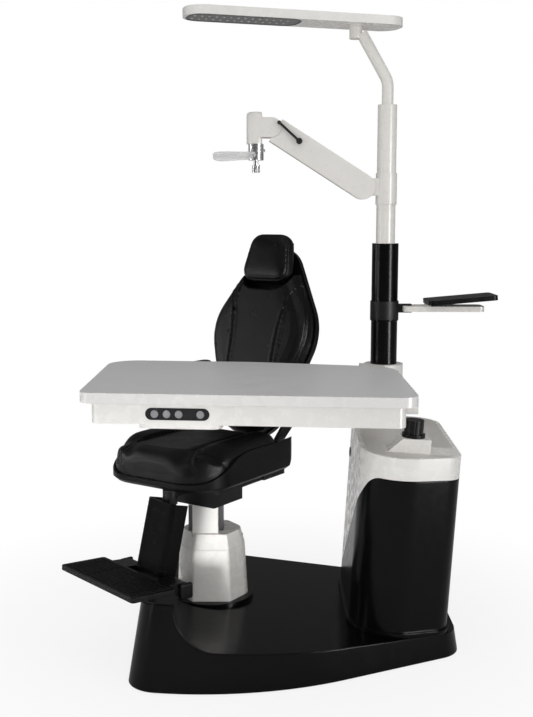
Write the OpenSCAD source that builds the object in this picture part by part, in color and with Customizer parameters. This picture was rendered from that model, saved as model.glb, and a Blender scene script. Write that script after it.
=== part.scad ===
// Ophthalmic examination chair with its stand, table, refractor arm and lamp
// Millimetres, +Z up, origin on the floor under the lift column, the stand at +X.
// The user faces the unit from -Y.

/* [Base] */
// radius of the bowed front edge of the base
base_edge_r = 889; // [850:1:1000]
// that edge's centre from the axis, across
base_edge_y = 404; // [380:1:480]
// place of that edge's centre along the unit
base_edge_x = 12; // [-40:1:60]
// slope of the front edge near the right end, deg
base_end_slope = 26.5; // [20:0.1:35]
// rear edge of the base at its right end
base_rear_y = 268; // [250:1:300]
// slope of the rear edge, deg
base_rear_slope = 11.3; // [5:0.1:20]
// left end of the base from the axis
base_left = 197; // [180:1:240]
// right end of the base from the axis
base_right = 757; // [700:1:820]
// corner radius of the base in plan
base_corner_r = 92; // [60:1:110]
// full height of the skirt's taper
base_skirt_h = 262; // [220:1:300]
// lean of the skirt inwards, deg
base_lean = 9; // [4:0.5:12]
// wall of the moulded base cover
base_wall = 5; // [3:0.5:8]
// gap between the cover's lower edge and the floor
base_gap = 4; // [2:0.5:8]
// height of the deck under the chair end
deck_h = 112; // [90:1:130]
// place along the unit where the deck has that height
deck_x = 50; // [0:5:100]
// fall of the deck towards the stand, deg
deck_fall = 3.4; // [0:0.1:6]
// radius of the rim's sweep at the chair's end
rim_sweep_r = 115; // [80:1:140]
// height of the raised rim at its front tip
rim_h = 238; // [200:1:240]
// fall of the raised rim towards the rear, deg
rim_fall = 10.6; // [5:0.1:20]
// thickness of the raised rim
rim_wall = 15; // [8:0.5:25]
// radius of the boss round the column's foot
foot_boss_r = 128; // [118:1:150]
// height of that boss above the deck
foot_boss_h = 8; // [4:0.5:15]
// steel base plate thickness
plate_t = 10; // [6:0.5:16]
// inset of the steel plate from the cover's outline
plate_inset = 40; // [30:1:60]
// radius of a levelling foot
level_foot_r = 22; // [15:1:30]
// height of a levelling foot's pad
level_foot_h = 9; // [6:0.5:12]
// radius of a levelling foot's stud
level_stud_r = 6; // [4:0.5:8]
// length of the stud above the pad
level_stud_h = 18; // [12:1:30]
// half place of the foot pairs at the chair
level_y = 330; // [300:5:400]
// place of the far feet along the unit
level_far_x = 690; // [600:5:700]
// half place of the far feet across the unit
level_far_y = 150; // [120:5:180]
// anchor bolt hole radius in the steel plate
anchor_r = 6.5; // [4:0.5:9]
// half spacing of the anchor holes along the unit
anchor_x = 90; // [60:5:140]
// half spacing of the anchor holes across the unit
anchor_y = 150; // [130:5:200]

/* [Chair lift] */
// width of the lift column's white face
lift_w = 78; // [60:1:100]
// depth of the lift column
lift_d = 130; // [100:1:140]
// wall of the lift column
lift_wall = 5; // [3:0.5:8]
// width of the guide rail on each side
rail_w = 14; // [8:1:20]
// depth of a guide rail
rail_d = 70; // [40:1:90]
// lower end of the lift column
lift_z0 = 40; // [30:1:60]
// top of the lift column
lift_top = 416; // [390:1:440]
// wall of the fixed mast
mast_wall = 6; // [4:0.5:10]
// top of the fixed mast
mast_top = 272; // [250:1:276]
// flange of the mast beyond its sides
mast_flange = 24; // [15:1:40]
// flange thickness
mast_flange_t = 12; // [8:1:20]
// running gap between mast and rails
slide_gap = 0.5; // [0.2:0.1:1]
// radius of the drive cylinder
drive_r = 26; // [20:1:32]
// height of the drive cylinder
drive_h = 240; // [200:1:260]
// radius of the drive rod
rod_r = 12; // [8:1:16]
// place of the cover's centre from the lift axis
cover_x = 18; // [0:1:30]
// radius of the cover's round sides at the foot
cover_r = 110; // [100:1:125]
// half width of the cover's flat front at the foot
cover_front_w = 64; // [50:1:80]
// place of the flat front from the cover's centre
cover_front_y = 98; // [85:1:105]
// lower cover height above the boss
cover_low_h = 158; // [140:1:190]
// upper cover height
cover_up_h = 46; // [35:1:60]
// share of the lower cover's plan left at its top
cover_low_share = 0.915; // [0.85:0.005:1]
// share of the upper cover's plan left at its top
cover_up_share = 0.87; // [0.8:0.005:1]
// wall of the covers
cover_wall = 4; // [2.5:0.5:6]
// seam gap between the covers
seam = 0.6; // [0.3:0.1:1.5]
// radius of a small screw head
screw_head_r = 4; // [3:0.5:6]
// height of a small screw head
screw_head_h = 2.4; // [1.5:0.1:4]
// radius of a small screw's shank
screw_r = 2; // [1.5:0.1:3]
// length of a small screw's shank
screw_l = 9; // [6:1:16]
// bearing outer radius under the seat frame
bearing_r = 60; // [50:1:70]
// bearing inner radius
bearing_in_r = 38; // [25:1:45]
// bearing height
bearing_h = 14; // [10:1:20]

/* [Chair] */
// turn of the chair at rest, deg
chair_turn = 34; // [0:1:90]
// half width of the seat frame box
frame_w = 93; // [70:1:120]
// front of the seat frame box
frame_front = 84; // [60:1:110]
// rear of the seat frame box
frame_rear = 62; // [50:1:90]
// bottom of the seat frame box
frame_z = 417; // [400:1:440]
// height of the seat frame box
frame_h = 72; // [50:1:90]
// wall of the seat frame box
frame_wall = 5; // [3:0.5:8]
// half width of the long rails under the seat
long_rail_x = 150; // [120:1:180]
// section of the long rails
long_rail_s = 24; // [18:1:32]
// underside of the seat shell
shell_z = 507; // [495:1:520]
// half width of the seat shell
shell_w = 204; // [190:1:230]
// front of the seat shell
shell_front = 270; // [250:1:300]
// rear of the seat shell
shell_rear = 140; // [120:1:150]
// run of the shell's sides beside the hinge
shell_wing = 58; // [30:1:70]
// corner radius of the seat shell at the front
shell_front_r = 118; // [80:1:140]
// corner radius of the seat shell at the rear
shell_rear_r = 40; // [20:1:60]
// wall of the seat shell
shell_wall = 7; // [4:0.5:10]
// height of the shell's edge at the front
shell_edge_front = 24; // [15:1:35]
// height of the shell's edge at the sides
shell_edge_side = 96; // [80:1:110]
// from the front to where the side edge has risen
shell_rise = 215; // [150:1:260]
// seat cushion's crown above the shell's side edge
seat_crown = 12; // [5:1:40]
// inset of the seat cushion in the shell
seat_inset = 1.5; // [1:0.5:4]
// radius of the cushion's rounded upper edge
seat_round = 42; // [20:1:45]
// height of the cushion's front roll above the shell
seat_front_h = 78; // [60:1:100]
// height of the side rolls above the middle
seat_roll_h = 16; // [5:1:30]
// width of a side roll
seat_roll_w = 62; // [40:1:80]

/* [Backrest] */
// recline of the back from upright, deg
back_lean = 16.5; // [5:0.5:30]
// place of the recline pins behind the chair's axis
back_pin_y = 162; // [160:1:180]
// height of the recline pins
back_pin_z = 585; // [560:1:610]
// radius of a recline pin
back_pin_r = 9; // [6:0.5:12]
// radius of the eye round a recline pin
back_eye_r = 20; // [16:1:21]
// thickness of a hinge plate
back_plate_t = 8; // [5:0.5:10]
// radius of the back's lower end
back_low_r = 122; // [100:1:140]
// height of the lower end's centre above the pins
back_low_z = 125; // [100:1:140]
// radius of the back's widest part
back_mid_r = 191; // [170:1:210]
// height of the widest part above the pins
back_mid_z = 350; // [280:1:370]
// radius of the back's top
back_top_r = 100; // [80:1:120]
// height of the top's centre above the pins
back_top_z = 544; // [480:1:560]
// backrest's rear face behind the pin line
back_rear = 90; // [80:1:110]
// thickness of the back's rigid shell
back_shell_t = 22; // [18:1:35]
// thickness of the back cushion at its edge
back_pad_t = 48; // [40:1:60]
// forward crown of the back cushion
back_crown = 14; // [5:1:30]
// thickness of a side bar of the back
back_bar_t = 8; // [5:0.5:10]
// gap between a hinge plate and the backrest's side bar
back_bar_gap = 2; // [1:0.5:4]
// inset of the back cushion from the shell's outline
back_pad_inset = 3; // [1:0.5:8]
// radius of the back cushion's edge
back_pad_round = 26; // [15:1:32]
// half width of the headrest at its foot
head_w = 92; // [80:1:125]
// half width of the headrest at its top
head_top_w = 80; // [60:1:110]
// height of the headrest
head_h = 166; // [120:1:180]
// thickness of the headrest
head_t = 66; // [55:1:90]
// radius of the headrest's edges
head_round = 32; // [20:1:40]
// height of the headrest's centre along the back
head_z = 591; // [540:1:620]
// radius of a headrest post
head_post_r = 6; // [4:0.5:8]
// half place of the headrest posts
head_post_x = 30; // [20:1:50]
// length of the headrest posts
head_post_l = 200; // [150:1:230]
// height of the headrest's block
head_block_h = 16; // [10:1:22]
// gap between the headrest and the backrest's shell
head_gap = 10; // [2:1:15]
// half distance between the armrests' inner faces
arm_x = 222; // [205:1:240]
// width of an armrest
armrest_w = 56; // [45:1:70]
// length of an armrest
armrest_l = 131; // [110:1:150]
// thickness of an armrest
armrest_t = 38; // [28:1:50]
// height of the armrests' pins along the back
armrest_z = 229; // [200:1:240]
// radius of an armrest pin
armrest_pin_r = 8; // [6:0.5:12]

/* [Footrest] */
// footrest's swivel pin in front of the chair's axis
leg_y = 176; // [165:1:230]
// turn of the footrest at rest, deg
leg_turn = 15; // [0:1:40]
// radius of the footrest's swivel pin
leg_pin_r = 11; // [8:0.5:15]
// half width of the leg cover
leg_w = 66; // [50:1:72]
// length of the leg cover
leg_l = 228; // [200:1:260]
// lean of the leg forwards, deg
leg_lean = 9; // [0:1:20]
// wall of the leg cover
leg_wall = 4; // [2.5:0.5:6]
// depth of the leg cover
leg_d = 54; // [30:1:60]
// height of the leg's hinge head
leg_top = 462; // [445:1:480]
// footplate's hinge pin in front of the swivel pin
hinge_y = 57; // [20:1:70]
// height of the footplate's hinge pin
hinge_z = 226; // [215:1:240]
// half length of the hinge housing
hinge_w = 145; // [120:1:170]
// radius of the hinge housing
hinge_r = 23; // [18:1:28]
// radius of the hinge pin
hinge_pin_r = 7; // [5:0.5:9]
// half width of the footplate
foot_w = 188; // [160:1:210]
// rear edge of the footplate from the swivel pin
foot_rear = 114; // [70:1:130]
// depth of the footplate
foot_d = 150; // [120:1:180]
// thickness of the footplate
foot_t = 14; // [10:1:20]
// underside of the footplate at its rear
foot_z = 241; // [239:1:260]
// upward tilt of the footplate's front, deg
foot_tilt = 3; // [0:1:10]
// corner radius of the footplate
foot_corner = 9; // [4:1:15]
// thickness of a ribbed mat
mat_t = 3; // [2:0.5:5]
// width of an outer mat
mat_side_w = 112; // [90:1:130]
// width of the middle mat
mat_mid_w = 118; // [90:1:140]
// depth of the mats
mat_d = 128; // [100:1:150]
// number of ribs on a mat
mat_ribs = 9; // [5:1:14]

/* [Stand] */
// left side of the stand at the deck
stand_left = 430; // [410:1:450]
// right side of the stand at the deck
stand_right = 720; // [700:1:740]
// front of the stand at its left
stand_front = 285; // [260:1:300]
// front of the stand at its right
stand_front_right = 248; // [240:1:290]
// rear of the stand
stand_rear = 275; // [260:1:300]
// corner radius at the front left
stand_fl_r = 120; // [80:1:140]
// corner radius at the front right
stand_fr_r = 60; // [30:1:70]
// corner radius at the rear
stand_r_r = 80; // [50:1:110]
// height of the stand above the deck, along its lean
stand_h = 536; // [500:1:560]
// rise of the stand's top towards the rear, deg
stand_top_tilt = 2.2; // [0:0.1:4]
// wall of the stand's shells
stand_wall = 4; // [2.5:0.5:6]
// the white part's lower edge above the deck
band_z = 461; // [430:1:480]
// start of the sweep behind the stand's front
sweep_y = 320; // [280:5:360]
// radius of the sweep where the white band turns down
sweep_r = 110; // [80:1:140]
// slope of that edge at the left, deg
sweep_slope = 41; // [35:1:50]
// lip of the plinth beyond the stand
plinth_lip = 6; // [4:1:12]
// height of the plinth above the deck
plinth_h = 14; // [8:1:20]
// inset of the top lid from the stand's side
lid_inset = 13; // [8:1:20]
// thickness of the lid
lid_t = 5; // [3:0.5:8]
// knob's place along the unit
knob_x = 612; // [590:1:630]
// knob's place across the unit
knob_y = -172; // [-220:1:-150]
// tilt of the knob to the right, deg
knob_tilt = 8; // [0:1:20]
// radius of the knob
knob_r = 28; // [22:1:32]
// height of the knob
knob_h = 50; // [40:1:60]
// radius of the knob's flange
knob_flange_r = 34; // [30:1:40]
// height of the knob's flange
knob_flange_h = 9; // [5:1:12]
// width of the raised boss under the knob
boss_w = 96; // [80:1:110]
// depth of the raised boss
boss_d = 74; // [65:1:110]
// height of the raised boss above the top
boss_h = 40; // [25:1:45]
// radius of the side socket
socket_r = 11; // [8:1:14]
// height of the side socket above the deck
socket_z = 446; // [430:1:470]
// place of the side socket across the unit
socket_y = 135; // [80:5:140]
// place of the insert's middle across the unit
insert_y = -110; // [-120:1:-90]
// height of the insert's middle above the deck
insert_z = 458; // [440:1:480]
// width of the side insert
insert_w = 96; // [60:1:120]
// height of the side insert
insert_h = 50; // [40:1:60]
// thickness of the side insert
insert_t = 3; // [2:0.5:4]
// section of the steel frame's posts in the stand
post_s = 40; // [30:1:50]

/* [Pole] */
// place of the pole along the unit
pole_x = 564; // [550:1:580]
// place of the pole across the unit
pole_y = 196; // [180:1:210]
// radius of the lower pole
low_pole_r = 42; // [38:0.5:45]
// top of the lower pole
low_pole_top = 1198; // [1150:1:1250]
// radius of the upper pole
up_pole_r = 30; // [27:0.5:32]
// top of the upper pole
up_pole_top = 1625; // [1580:1:1680]
// wall of both poles
pole_wall = 4; // [3:0.5:6]
// running gap round a pole
pole_gap = 0.3; // [0.1:0.05:0.6]
// length of the upper pole inside the lower
pole_overlap = 120; // [80:5:160]
// bottom of the shelf collar
collar_z = 957; // [930:1:1000]
// height of the shelf collar
collar_h = 58; // [45:1:70]
// wall of the shelf collar
collar_wall = 3.4; // [3:0.1:5]
// length of the shelf's stub
stub_l = 44; // [35:1:60]
// height of the shelf's stub
stub_h = 27; // [20:1:32]
// length of the shelf bar
shelf_l = 258; // [220:1:300]
// width of the shelf bar
shelf_w = 92; // [70:1:110]
// thickness of the shelf bar
shelf_t = 17; // [12:1:24]
// height of the shelf bar's underside
shelf_z = 983; // [970:1:1000]
// length of the shelf pad
pad_l = 218; // [180:1:240]
// depth of the shelf pad
pad_d = 150; // [110:1:180]
// thickness of the shelf pad
pad_t = 15; // [8:1:20]
// place of the pad's left edge from the pole
pad_x = 134; // [110:1:150]
// tilt of the pad, deg
pad_tilt = 5; // [0:1:15]
// gap between bar and pad at the pad's left edge
pad_gap = 4; // [3:1:20]

/* [Table] */
// height of the table's top face
table_z = 840; // [800:1:860]
// thickness of the table slab
slab_t = 27; // [20:1:35]
// left side of the table from the axis
table_left = 292; // [270:1:310]
// right side of the table from the axis
table_right = 566; // [550:1:590]
// front edge of the table at its left end
table_front_left = 556; // [540:1:580]
// front edge of the table at its right end
table_front_right = 632; // [600:1:650]
// radius of the front left corner
table_fl_r = 42; // [25:1:60]
// radius of the front right corner
table_fr_r = 46; // [25:1:60]
// radius of the rear right corner
table_br_r = 100; // [70:1:120]
// rear edge at the rear right corner's circle
table_rear_right = 60; // [40:1:80]
// radius of the rear left corner
table_bl_r = 85; // [60:1:110]
// rear edge at the rear left corner's circle
table_rear_left = 55; // [40:1:70]
// radius of the rear edge's bow
table_bow_r = 300; // [280:1:310]
// place of the bow's centre along the unit
table_bow_x = 101; // [80:1:120]
// place of the bow's centre across the unit
table_bow_y = -276; // [-280:1:-270]
// thickness of the grey surface sheet
sheet_t = 2; // [1:0.5:3]
// width of the white rim round the sheet
sheet_inset = 4; // [2:0.5:8]
// inset of the tray from the table's ends
tray_side = 31; // [20:1:45]
// inset of the tray from the table's front
tray_front = 12; // [6:1:20]
// height of the tray
tray_h = 53; // [45:1:60]
// depth of the tray
tray_d = 165; // [120:1:190]
// wall of the tray
tray_wall = 3; // [2:0.5:5]
// corner radius of the tray
tray_r = 26; // [15:1:40]
// length of the pod under the controls
pod_l = 222; // [180:1:250]
// depth of that pod
pod_d = 130; // [80:1:150]
// height of that pod
pod_h = 11; // [6:1:16]
// place of the controls along the unit
panel_x = -39; // [-60:1:-20]
// length of the control panel
panel_l = 164; // [140:1:190]
// height of the control panel
panel_h = 31; // [24:1:36]
// thickness of the control panel
panel_t = 3; // [2:0.5:5]
// centre height of the control panel
panel_z = 787; // [775:1:800]
// radius of a push button
button_r = 9.6; // [7:0.1:12]
// how far a button stands out of the panel
button_out = 2.6; // [1.5:0.1:4]
// length of a button behind the panel's face
button_in = 9; // [6:0.5:14]
// gap round a button
button_gap = 0.4; // [0.2:0.1:0.8]
// distance between the three left buttons
button_step = 31; // [26:1:36]
// place of the first button from the panel's middle
button_first = -58; // [-66:1:-50]
// place of the right-hand button from the panel's middle
button_last = 59; // [50:1:66]
// outer radius of the table's hub on the pole
hub_r = 62; // [55:1:75]
// height of the table's hub
hub_h = 176; // [120:1:180]
// length of the hub's clamp block to the right
hub_block = 111; // [90:1:125]
// width of the hub's clamp block
hub_block_w = 74; // [60:1:90]
// width of the arm under the table
carrier_w = 74; // [60:1:90]
// height of the arm under the table
carrier_h = 38; // [30:1:50]
// place of the arm's middle along the unit
carrier_x = 522; // [500:1:540]

/* [Refractor arm] */
// bottom of the arm's collar on the pole
carriage_z = 1324; // [1280:1:1360]
// height of the arm's collar
carriage_h = 94; // [80:1:110]
// wall of the arm's collar
carriage_wall = 3; // [2.5:0.1:5]
// height of the lower arm pin
arm_pin_z = 1375; // [1340:1:1400]
// place of the lower arm pin from the pole
arm_pin_x = 45; // [44:1:60]
// length of the arm between its pins
arm_l = 341; // [320:1:400]
// slope of the arm, deg
arm_slope = 32.4; // [10:0.1:40]
// height of the arm's section
arm_h = 81; // [70:1:90]
// thickness of the arm
arm_t = 56; // [45:1:62]
// wall of the arm
arm_wall = 3.5; // [2.5:0.5:5]
// radius of an arm pin
arm_pin_r = 7; // [5:0.5:10]
// radius of the head's nose
nose_r = 29.5; // [26:0.5:33]
// place of the nose's centre from the upper arm pin
nose_x = 49; // [40:1:60]
// bottom of the nose below the upper arm pin
nose_low = 50; // [40:1:60]
// top of the nose above the upper arm pin
nose_up = 48; // [40:1:60]
// rounding of the nose's upper edge
nose_round = 11; // [5:1:15]
// radius of the steel holder
holder_r = 23.8; // [20:0.5:27]
// height of the steel holder
holder_h = 50; // [40:1:60]
// radius of the holder's stem
stem_r = 7; // [5:0.5:9]
// length of the holder's stem
stem_h = 15; // [10:1:22]
// radius of the knurled knob
small_knob_r = 12.5; // [9:0.5:15]
// height of the knurled knob
small_knob_h = 23; // [16:1:30]
// radius of the lever's ball
ball_r = 6.5; // [5:0.5:8]
// length of the lever
lever_l = 84; // [70:1:100]
// radius of the lever
lever_r = 5; // [3.5:0.5:7]
// length of the clear plate
clear_l = 118; // [100:1:140]
// depth of the clear plate
clear_d = 105; // [80:1:130]
// thickness of the clear plate
clear_t = 5; // [3:0.5:8]
// tilt of the clear plate, deg
clear_tilt = 11; // [0:1:20]

/* [Lamp] */
// radius of the lamp tube
lamp_tube_r = 18; // [15:0.5:22]
// length of the tube inside the upper pole
lamp_tube_in = 80; // [60:5:120]
// height of the bend in the lamp tube
lamp_bend_z = 1682; // [1660:1:1720]
// place of the lamp's pivot from the pole
lamp_reach = 102; // [80:1:120]
// reach of the tube's slanted part to the left
lamp_tube_reach = 84; // [70:1:100]
// radius of the tube's bend
lamp_bend_r = 70; // [40:1:100]
// radius of the lamp's pivot
lamp_pivot_r = 18; // [14:0.5:22]
// bottom of the lamp's pivot
lamp_pivot_z = 1829; // [1800:1:1850]
// height of the lamp's underside
lamp_z = 1865; // [1850:1:1890]
// length of the lamp
lamp_l = 690; // [600:5:760]
// width of the lamp
lamp_w = 130; // [100:1:150]
// height of the lamp
lamp_h = 26; // [20:1:35]
// corner radius of the lamp in plan
lamp_corner = 55; // [35:1:65]
// heading of the lamp, deg from the unit's length
lamp_turn = 16.8; // [0:0.1:40]
// lamp's middle along its length from its pivot
lamp_mid = 203; // [180:1:230]
// lamp's middle across its length from its pivot
lamp_side = 26; // [0:1:40]
// wall of the lamp housing
lamp_wall = 2.5; // [2:0.5:4]
// length of the light window
window_l = 340; // [300:1:380]
// width of the light window
window_w = 112; // [90:1:120]
// thickness of the window
window_t = 4; // [2:0.5:6]

/* [Hidden] */
$fn = 64;
over = base_skirt_h / 200;
cut = base_skirt_h * 4;
deck_t = base_wall;
foot_top = deck_h + foot_boss_h;
cover_z = foot_top;
cover_up_z = cover_z + cover_low_h + seam;
plate_z = level_foot_h + over;
plate_top = plate_z + plate_t;
skirt_share = 1 - base_skirt_h * tan(base_lean) * 2 / (base_left + base_right);
base_mid_x = (base_right - base_left) / 2;
pin_fit = pole_gap / 5;
// base
hole_r = cover_r - cover_wall * 4;
flange_x = lift_w / 2 + rail_w + mast_wall + slide_gap + mast_flange;
flange_y = rail_d / 2 + mast_wall + slide_gap + mast_flange;
mast_z = plate_top + mast_flange_t;
rod_z = mast_z + rail_w * 2;
screw_z = cover_up_z + cover_up_h / 2;
screw_seat = cover_r * cover_low_share * (1 + cover_up_share) / 2 - screw_head_h / 2;
head_plate_t = mast_flange_t;
lift_plate_z = lift_top - head_plate_t;
// chair
bearing_top = lift_top + bearing_h;
rail_z = shell_z - long_rail_s;
rail_in = long_rail_x - long_rail_s / 2;
rail_out = long_rail_x + long_rail_s / 2;
rail_front = leg_y * 0.85;
eye_z = leg_top + seam;
shell_top = shell_z + shell_edge_side;
seat_top = shell_top + seat_crown;
seat_in = shell_wall + seat_inset;
bar_in = rail_out - back_bar_gap - back_bar_t;
arm_tube_y = back_rear + armrest_pin_r * 1.75;
pad_front = back_rear - back_shell_t - back_pad_t;
shell_front_y = back_rear - back_shell_t;
post_y = back_rear - back_shell_t / 2;
head_y = shell_front_y - head_gap;
head_top = head_z + head_h / 2;
head_pivot_z = back_top_z + back_top_r + head_block_h * 0.65;
// stand
band_gap = seam;
lid_ledge = lid_inset * 2;
top_t = lid_t * 1.6;
frame_top = stand_h * 0.96;
// table
slab_z = table_z - slab_t;
tray_z = slab_z - tray_h;
hub_z = slab_z - hub_h;
front_angle = atan((table_front_right - table_front_left) / (table_left + table_right));
panel_out = panel_t / 3;
// refractor arm and lamp
pin_x = pole_x - up_pole_r - arm_pin_x;
head_x = pin_x - arm_l * cos(arm_slope);
head_pin_z = arm_pin_z + arm_l * sin(arm_slope);
nose_cx = head_x - nose_x;
nose_z = head_pin_z - nose_low;
nose_top = head_pin_z + nose_up;
holder_z = nose_z - holder_h;
stem_z = holder_z - stem_h;
knob_z = stem_z - small_knob_h;
carriage_r = up_pole_r + pole_gap + carriage_wall;
tongue_t = arm_t - arm_wall * 4;
barrel_r = arm_h * 0.38;
lamp_px = pole_x - lamp_reach;
bend_angle = 30;

// where a straight side touches two circles [x, y, radius]
function touch(p, q) = let (
    d = norm([q[0] - p[0], q[1] - p[1]]),
    a = atan2(q[1] - p[1], q[0] - p[0]) - acos((p[2] - q[2]) / d))
  [[p[0] + p[2] * cos(a), p[1] + p[2] * sin(a)], [q[0] + q[2] * cos(a), q[1] + q[2] * sin(a)]];

// outline round circles, listed anticlockwise
module outline(c, inset = 0, nip = 0) {
  n = len(c);
  d = [for (p = c) [p[0], p[1], p[2] - inset - nip]];
  for (p = d) translate([p[0], p[1]]) circle(p[2] + nip);
  polygon([for (i = [0:n - 1]) each touch(d[i], d[(i + 1) % n])]);
}

// corner circles of a rectangle
function corners(x0, x1, y0, y1, r) =
  [[x0 + r, y0 + r, r], [x1 - r, y0 + r, r], [x1 - r, y1 - r, r], [x0 + r, y1 - r, r]];

module block(x0, x1, y0, y1, z0, z1) {
  translate([x0, y0, z0]) cube([x1 - x0, y1 - y0, z1 - z0]);
}

module post(x, y, z0, z1, r) {
  translate([x, y, z0]) cylinder(h = z1 - z0, r = r);
}

// a bar along x
module axle(x0, x1, y, z, r) {
  translate([x0, y, z]) rotate([0, 90, 0]) cylinder(h = x1 - x0, r = r);
}

// a bar along y
module spindle(x, y0, y1, z, r) {
  translate([x, y0, z]) rotate([-90, 0, 0]) cylinder(h = y1 - y0, r = r);
}

// a flat profile in y and z, made thick along x
module side_plate(x0, x1) {
  translate([x0, 0, 0]) rotate([90, 0, 90]) linear_extrude(x1 - x0) children();
}

// a flat profile in x and z, made thick along y
module front_plate(y0, y1) {
  translate([0, y1, 0]) rotate([90, 0, 0]) linear_extrude(y1 - y0) children();
}

module on_deck() {
  translate([deck_x, 0, deck_h]) rotate([0, deck_fall, 0]) translate([-deck_x, 0, 0]) children();
}

module on_top() {
  on_deck() translate([0, 0, stand_h]) rotate([stand_top_tilt, 0, 0]) children();
}

module in_chair() {
  rotate([0, 0, -chair_turn]) children();
}

module in_back() {
  in_chair() translate([0, back_pin_y, back_pin_z]) rotate([-back_lean, 0, 0]) children();
}

module in_leg() {
  in_chair() translate([0, -leg_y, 0]) rotate([0, 0, -leg_turn]) children();
}

// Base

module base_plan(inset) {
  offset(r = base_corner_r - inset) offset(delta = -base_corner_r) base_edges(0);
}

// the base's edges, corners not yet rounded
module base_edges(inset) {
  x = base_edge_x + (base_edge_r - inset) * sin(base_end_slope);
  y = base_edge_y - (base_edge_r - inset) * cos(base_end_slope);
  right = base_right - inset;
  rear = base_rear_y - inset;
  intersection() {
    union() {
      translate([base_edge_x, base_edge_y]) circle(base_edge_r - inset, $fn = 180);
      polygon([[x, y], [right, y + (right - x) * tan(base_end_slope)], [right, cut], [x, cut]]);
    }
    polygon([[inset - base_left, -cut], [right, -cut], [right, rear],
      [inset - base_left, rear + (right + base_left) * tan(base_rear_slope)]]);
  }
}

module skirt(inset, z0) {
  hull() {
    translate([0, 0, z0]) linear_extrude(over) base_plan(inset);
    translate([base_mid_x, 0, z0 + base_skirt_h]) linear_extrude(over)
      scale(skirt_share) translate([-base_mid_x, 0]) base_plan(inset);
  }
}

// all above the deck, less the sweep of the rim
module above_deck() {
  front_plate(-cut, cut) {
    translate([deck_x, deck_h + rim_sweep_r]) circle(rim_sweep_r, $fn = 96);
    polygon([
      [deck_x - rim_sweep_r, deck_h + rim_sweep_r],
      [deck_x, deck_h + rim_sweep_r],
      [deck_x, deck_h],
      [base_right * 2, deck_h - (base_right * 2 - deck_x) * tan(deck_fall)],
      [base_right * 2, cut],
      [deck_x - rim_sweep_r, cut]]);
  }
}

module over_deck_plane(low) {
  on_deck() block(-cut, cut, -cut, cut, -low, cut);
}

module base_cover() {
  color("#242426") difference() {
    union() {
      difference() {
        skirt(0, base_gap);
        above_deck();
        intersection() {
          translate([0, -base_edge_r / 2, rim_h]) rotate([-rim_fall, 0, 0])
            block(-cut / 2, deck_x, -cut, cut, 0, cut);
          over_deck_plane(-over);
        }
        intersection() {
          skirt(rim_wall, base_gap);
          on_deck() block(-cut / 2, deck_x + rim_wall, -cut / 2, cut / 2, -seam, cut);
        }
      }
      post(cover_x, 0, deck_h - deck_t, foot_top, foot_boss_r);
    }
    difference() {
      translate([0, 0, -over]) skirt(base_wall, base_gap);
      over_deck_plane(deck_t);
    }
    post(cover_x, 0, -cut, cut, hole_r);
    on_deck() linear_extrude(deck_t * 3, center = true) stand_plan(stand_fr_r / 2);
  }
}

module base_plate() {
  color("dimgray") translate([0, 0, plate_z]) linear_extrude(plate_t) difference() {
    base_edges(plate_inset);
    for (x = [-anchor_x, anchor_x], y = [-anchor_y, anchor_y]) translate([x, y]) circle(anchor_r);
    for (p = foot_places) translate(p) circle(level_stud_r);
  }
}

foot_places = [[0, 0], [0, -level_y], [0, level_y], [level_far_x, -level_far_y], [level_far_x, level_far_y]];

module levelling_feet() {
  color("black") for (p = foot_places) translate(p) {
    cylinder(h = level_foot_h, r = level_foot_r);
    cylinder(h = plate_top, r = level_stud_r);
    if (norm(p) > 0) {
      cylinder(h = level_foot_h + level_stud_h, r = level_stud_r);
      translate([0, 0, plate_top]) cylinder(h = level_foot_h / 2, r = level_stud_r * 2, $fn = 6);
    }
  }
}

// Chair lift

module lift_mast() {
  rail_edge = lift_w / 2 + rail_w + slide_gap;
  lip = rail_d / 2 + slide_gap;
  color("gray") {
    block(-flange_x, flange_x, -flange_y, flange_y, plate_top, mast_z);
    for (m = [0, 1]) mirror([m, 0, 0]) {
      block(rail_edge, rail_edge + mast_wall, -lip - mast_wall, lip + mast_wall, plate_top, mast_top);
      for (y = [-lip - mast_wall, lip])
        block(lift_w / 2 + slide_gap * 2, rail_edge + over, y, y + mast_wall, plate_top, mast_top);
    }
  }
}

module lift_drive() {
  color("dimgray") difference() {
    union() {
      post(0, 0, mast_z, mast_z + drive_h, drive_r);
      post(0, 0, mast_z, mast_z + rail_w, drive_r + mast_wall);
    }
    post(0, 0, rod_z - slide_gap, mast_z + drive_h + over, rod_r + pin_fit);
  }
}

module drive_rod() {
  color("silver") {
    post(0, 0, rod_z, lift_plate_z, rod_r);
    post(0, 0, lift_plate_z - head_plate_t, lift_plate_z, rod_r * 2);
  }
}

module lift_column() {
  w = lift_w / 2;
  d = lift_d / 2;
  color("whitesmoke") {
    difference() {
      block(-w, w, -d, d, lift_z0, lift_top);
      block(lift_wall - w, w - lift_wall, lift_wall - d, d - lift_wall, lift_z0 - over, lift_plate_z);
    }
    block(-w - rail_w, w + rail_w, -rail_d / 2, rail_d / 2, lift_plate_z, lift_top);
  }
}

module guide_rails() {
  groove = rail_w / 4;
  color("dimgray") for (m = [0, 1]) mirror([m, 0, 0]) difference() {
    block(lift_w / 2, lift_w / 2 + rail_w, -rail_d / 2, rail_d / 2, lift_z0, lift_plate_z);
    block(lift_w / 2 + rail_w - groove, lift_w, -groove, groove, lift_z0 - over, lift_plate_z + over);
  }
}

module cover_plan(inset) {
  w = cover_front_w - inset;
  y = cover_front_y - inset;
  r = cover_r * 0.12;
  outline([[-w + r, -y + r, r], [w - r, -y + r, r], [cover_r - cover_front_w, 0, cover_front_w - inset],
    [w - r, y - r, r], [-w + r, y - r, r], [cover_front_w - cover_r, 0, cover_front_w - inset]]);
}

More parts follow.
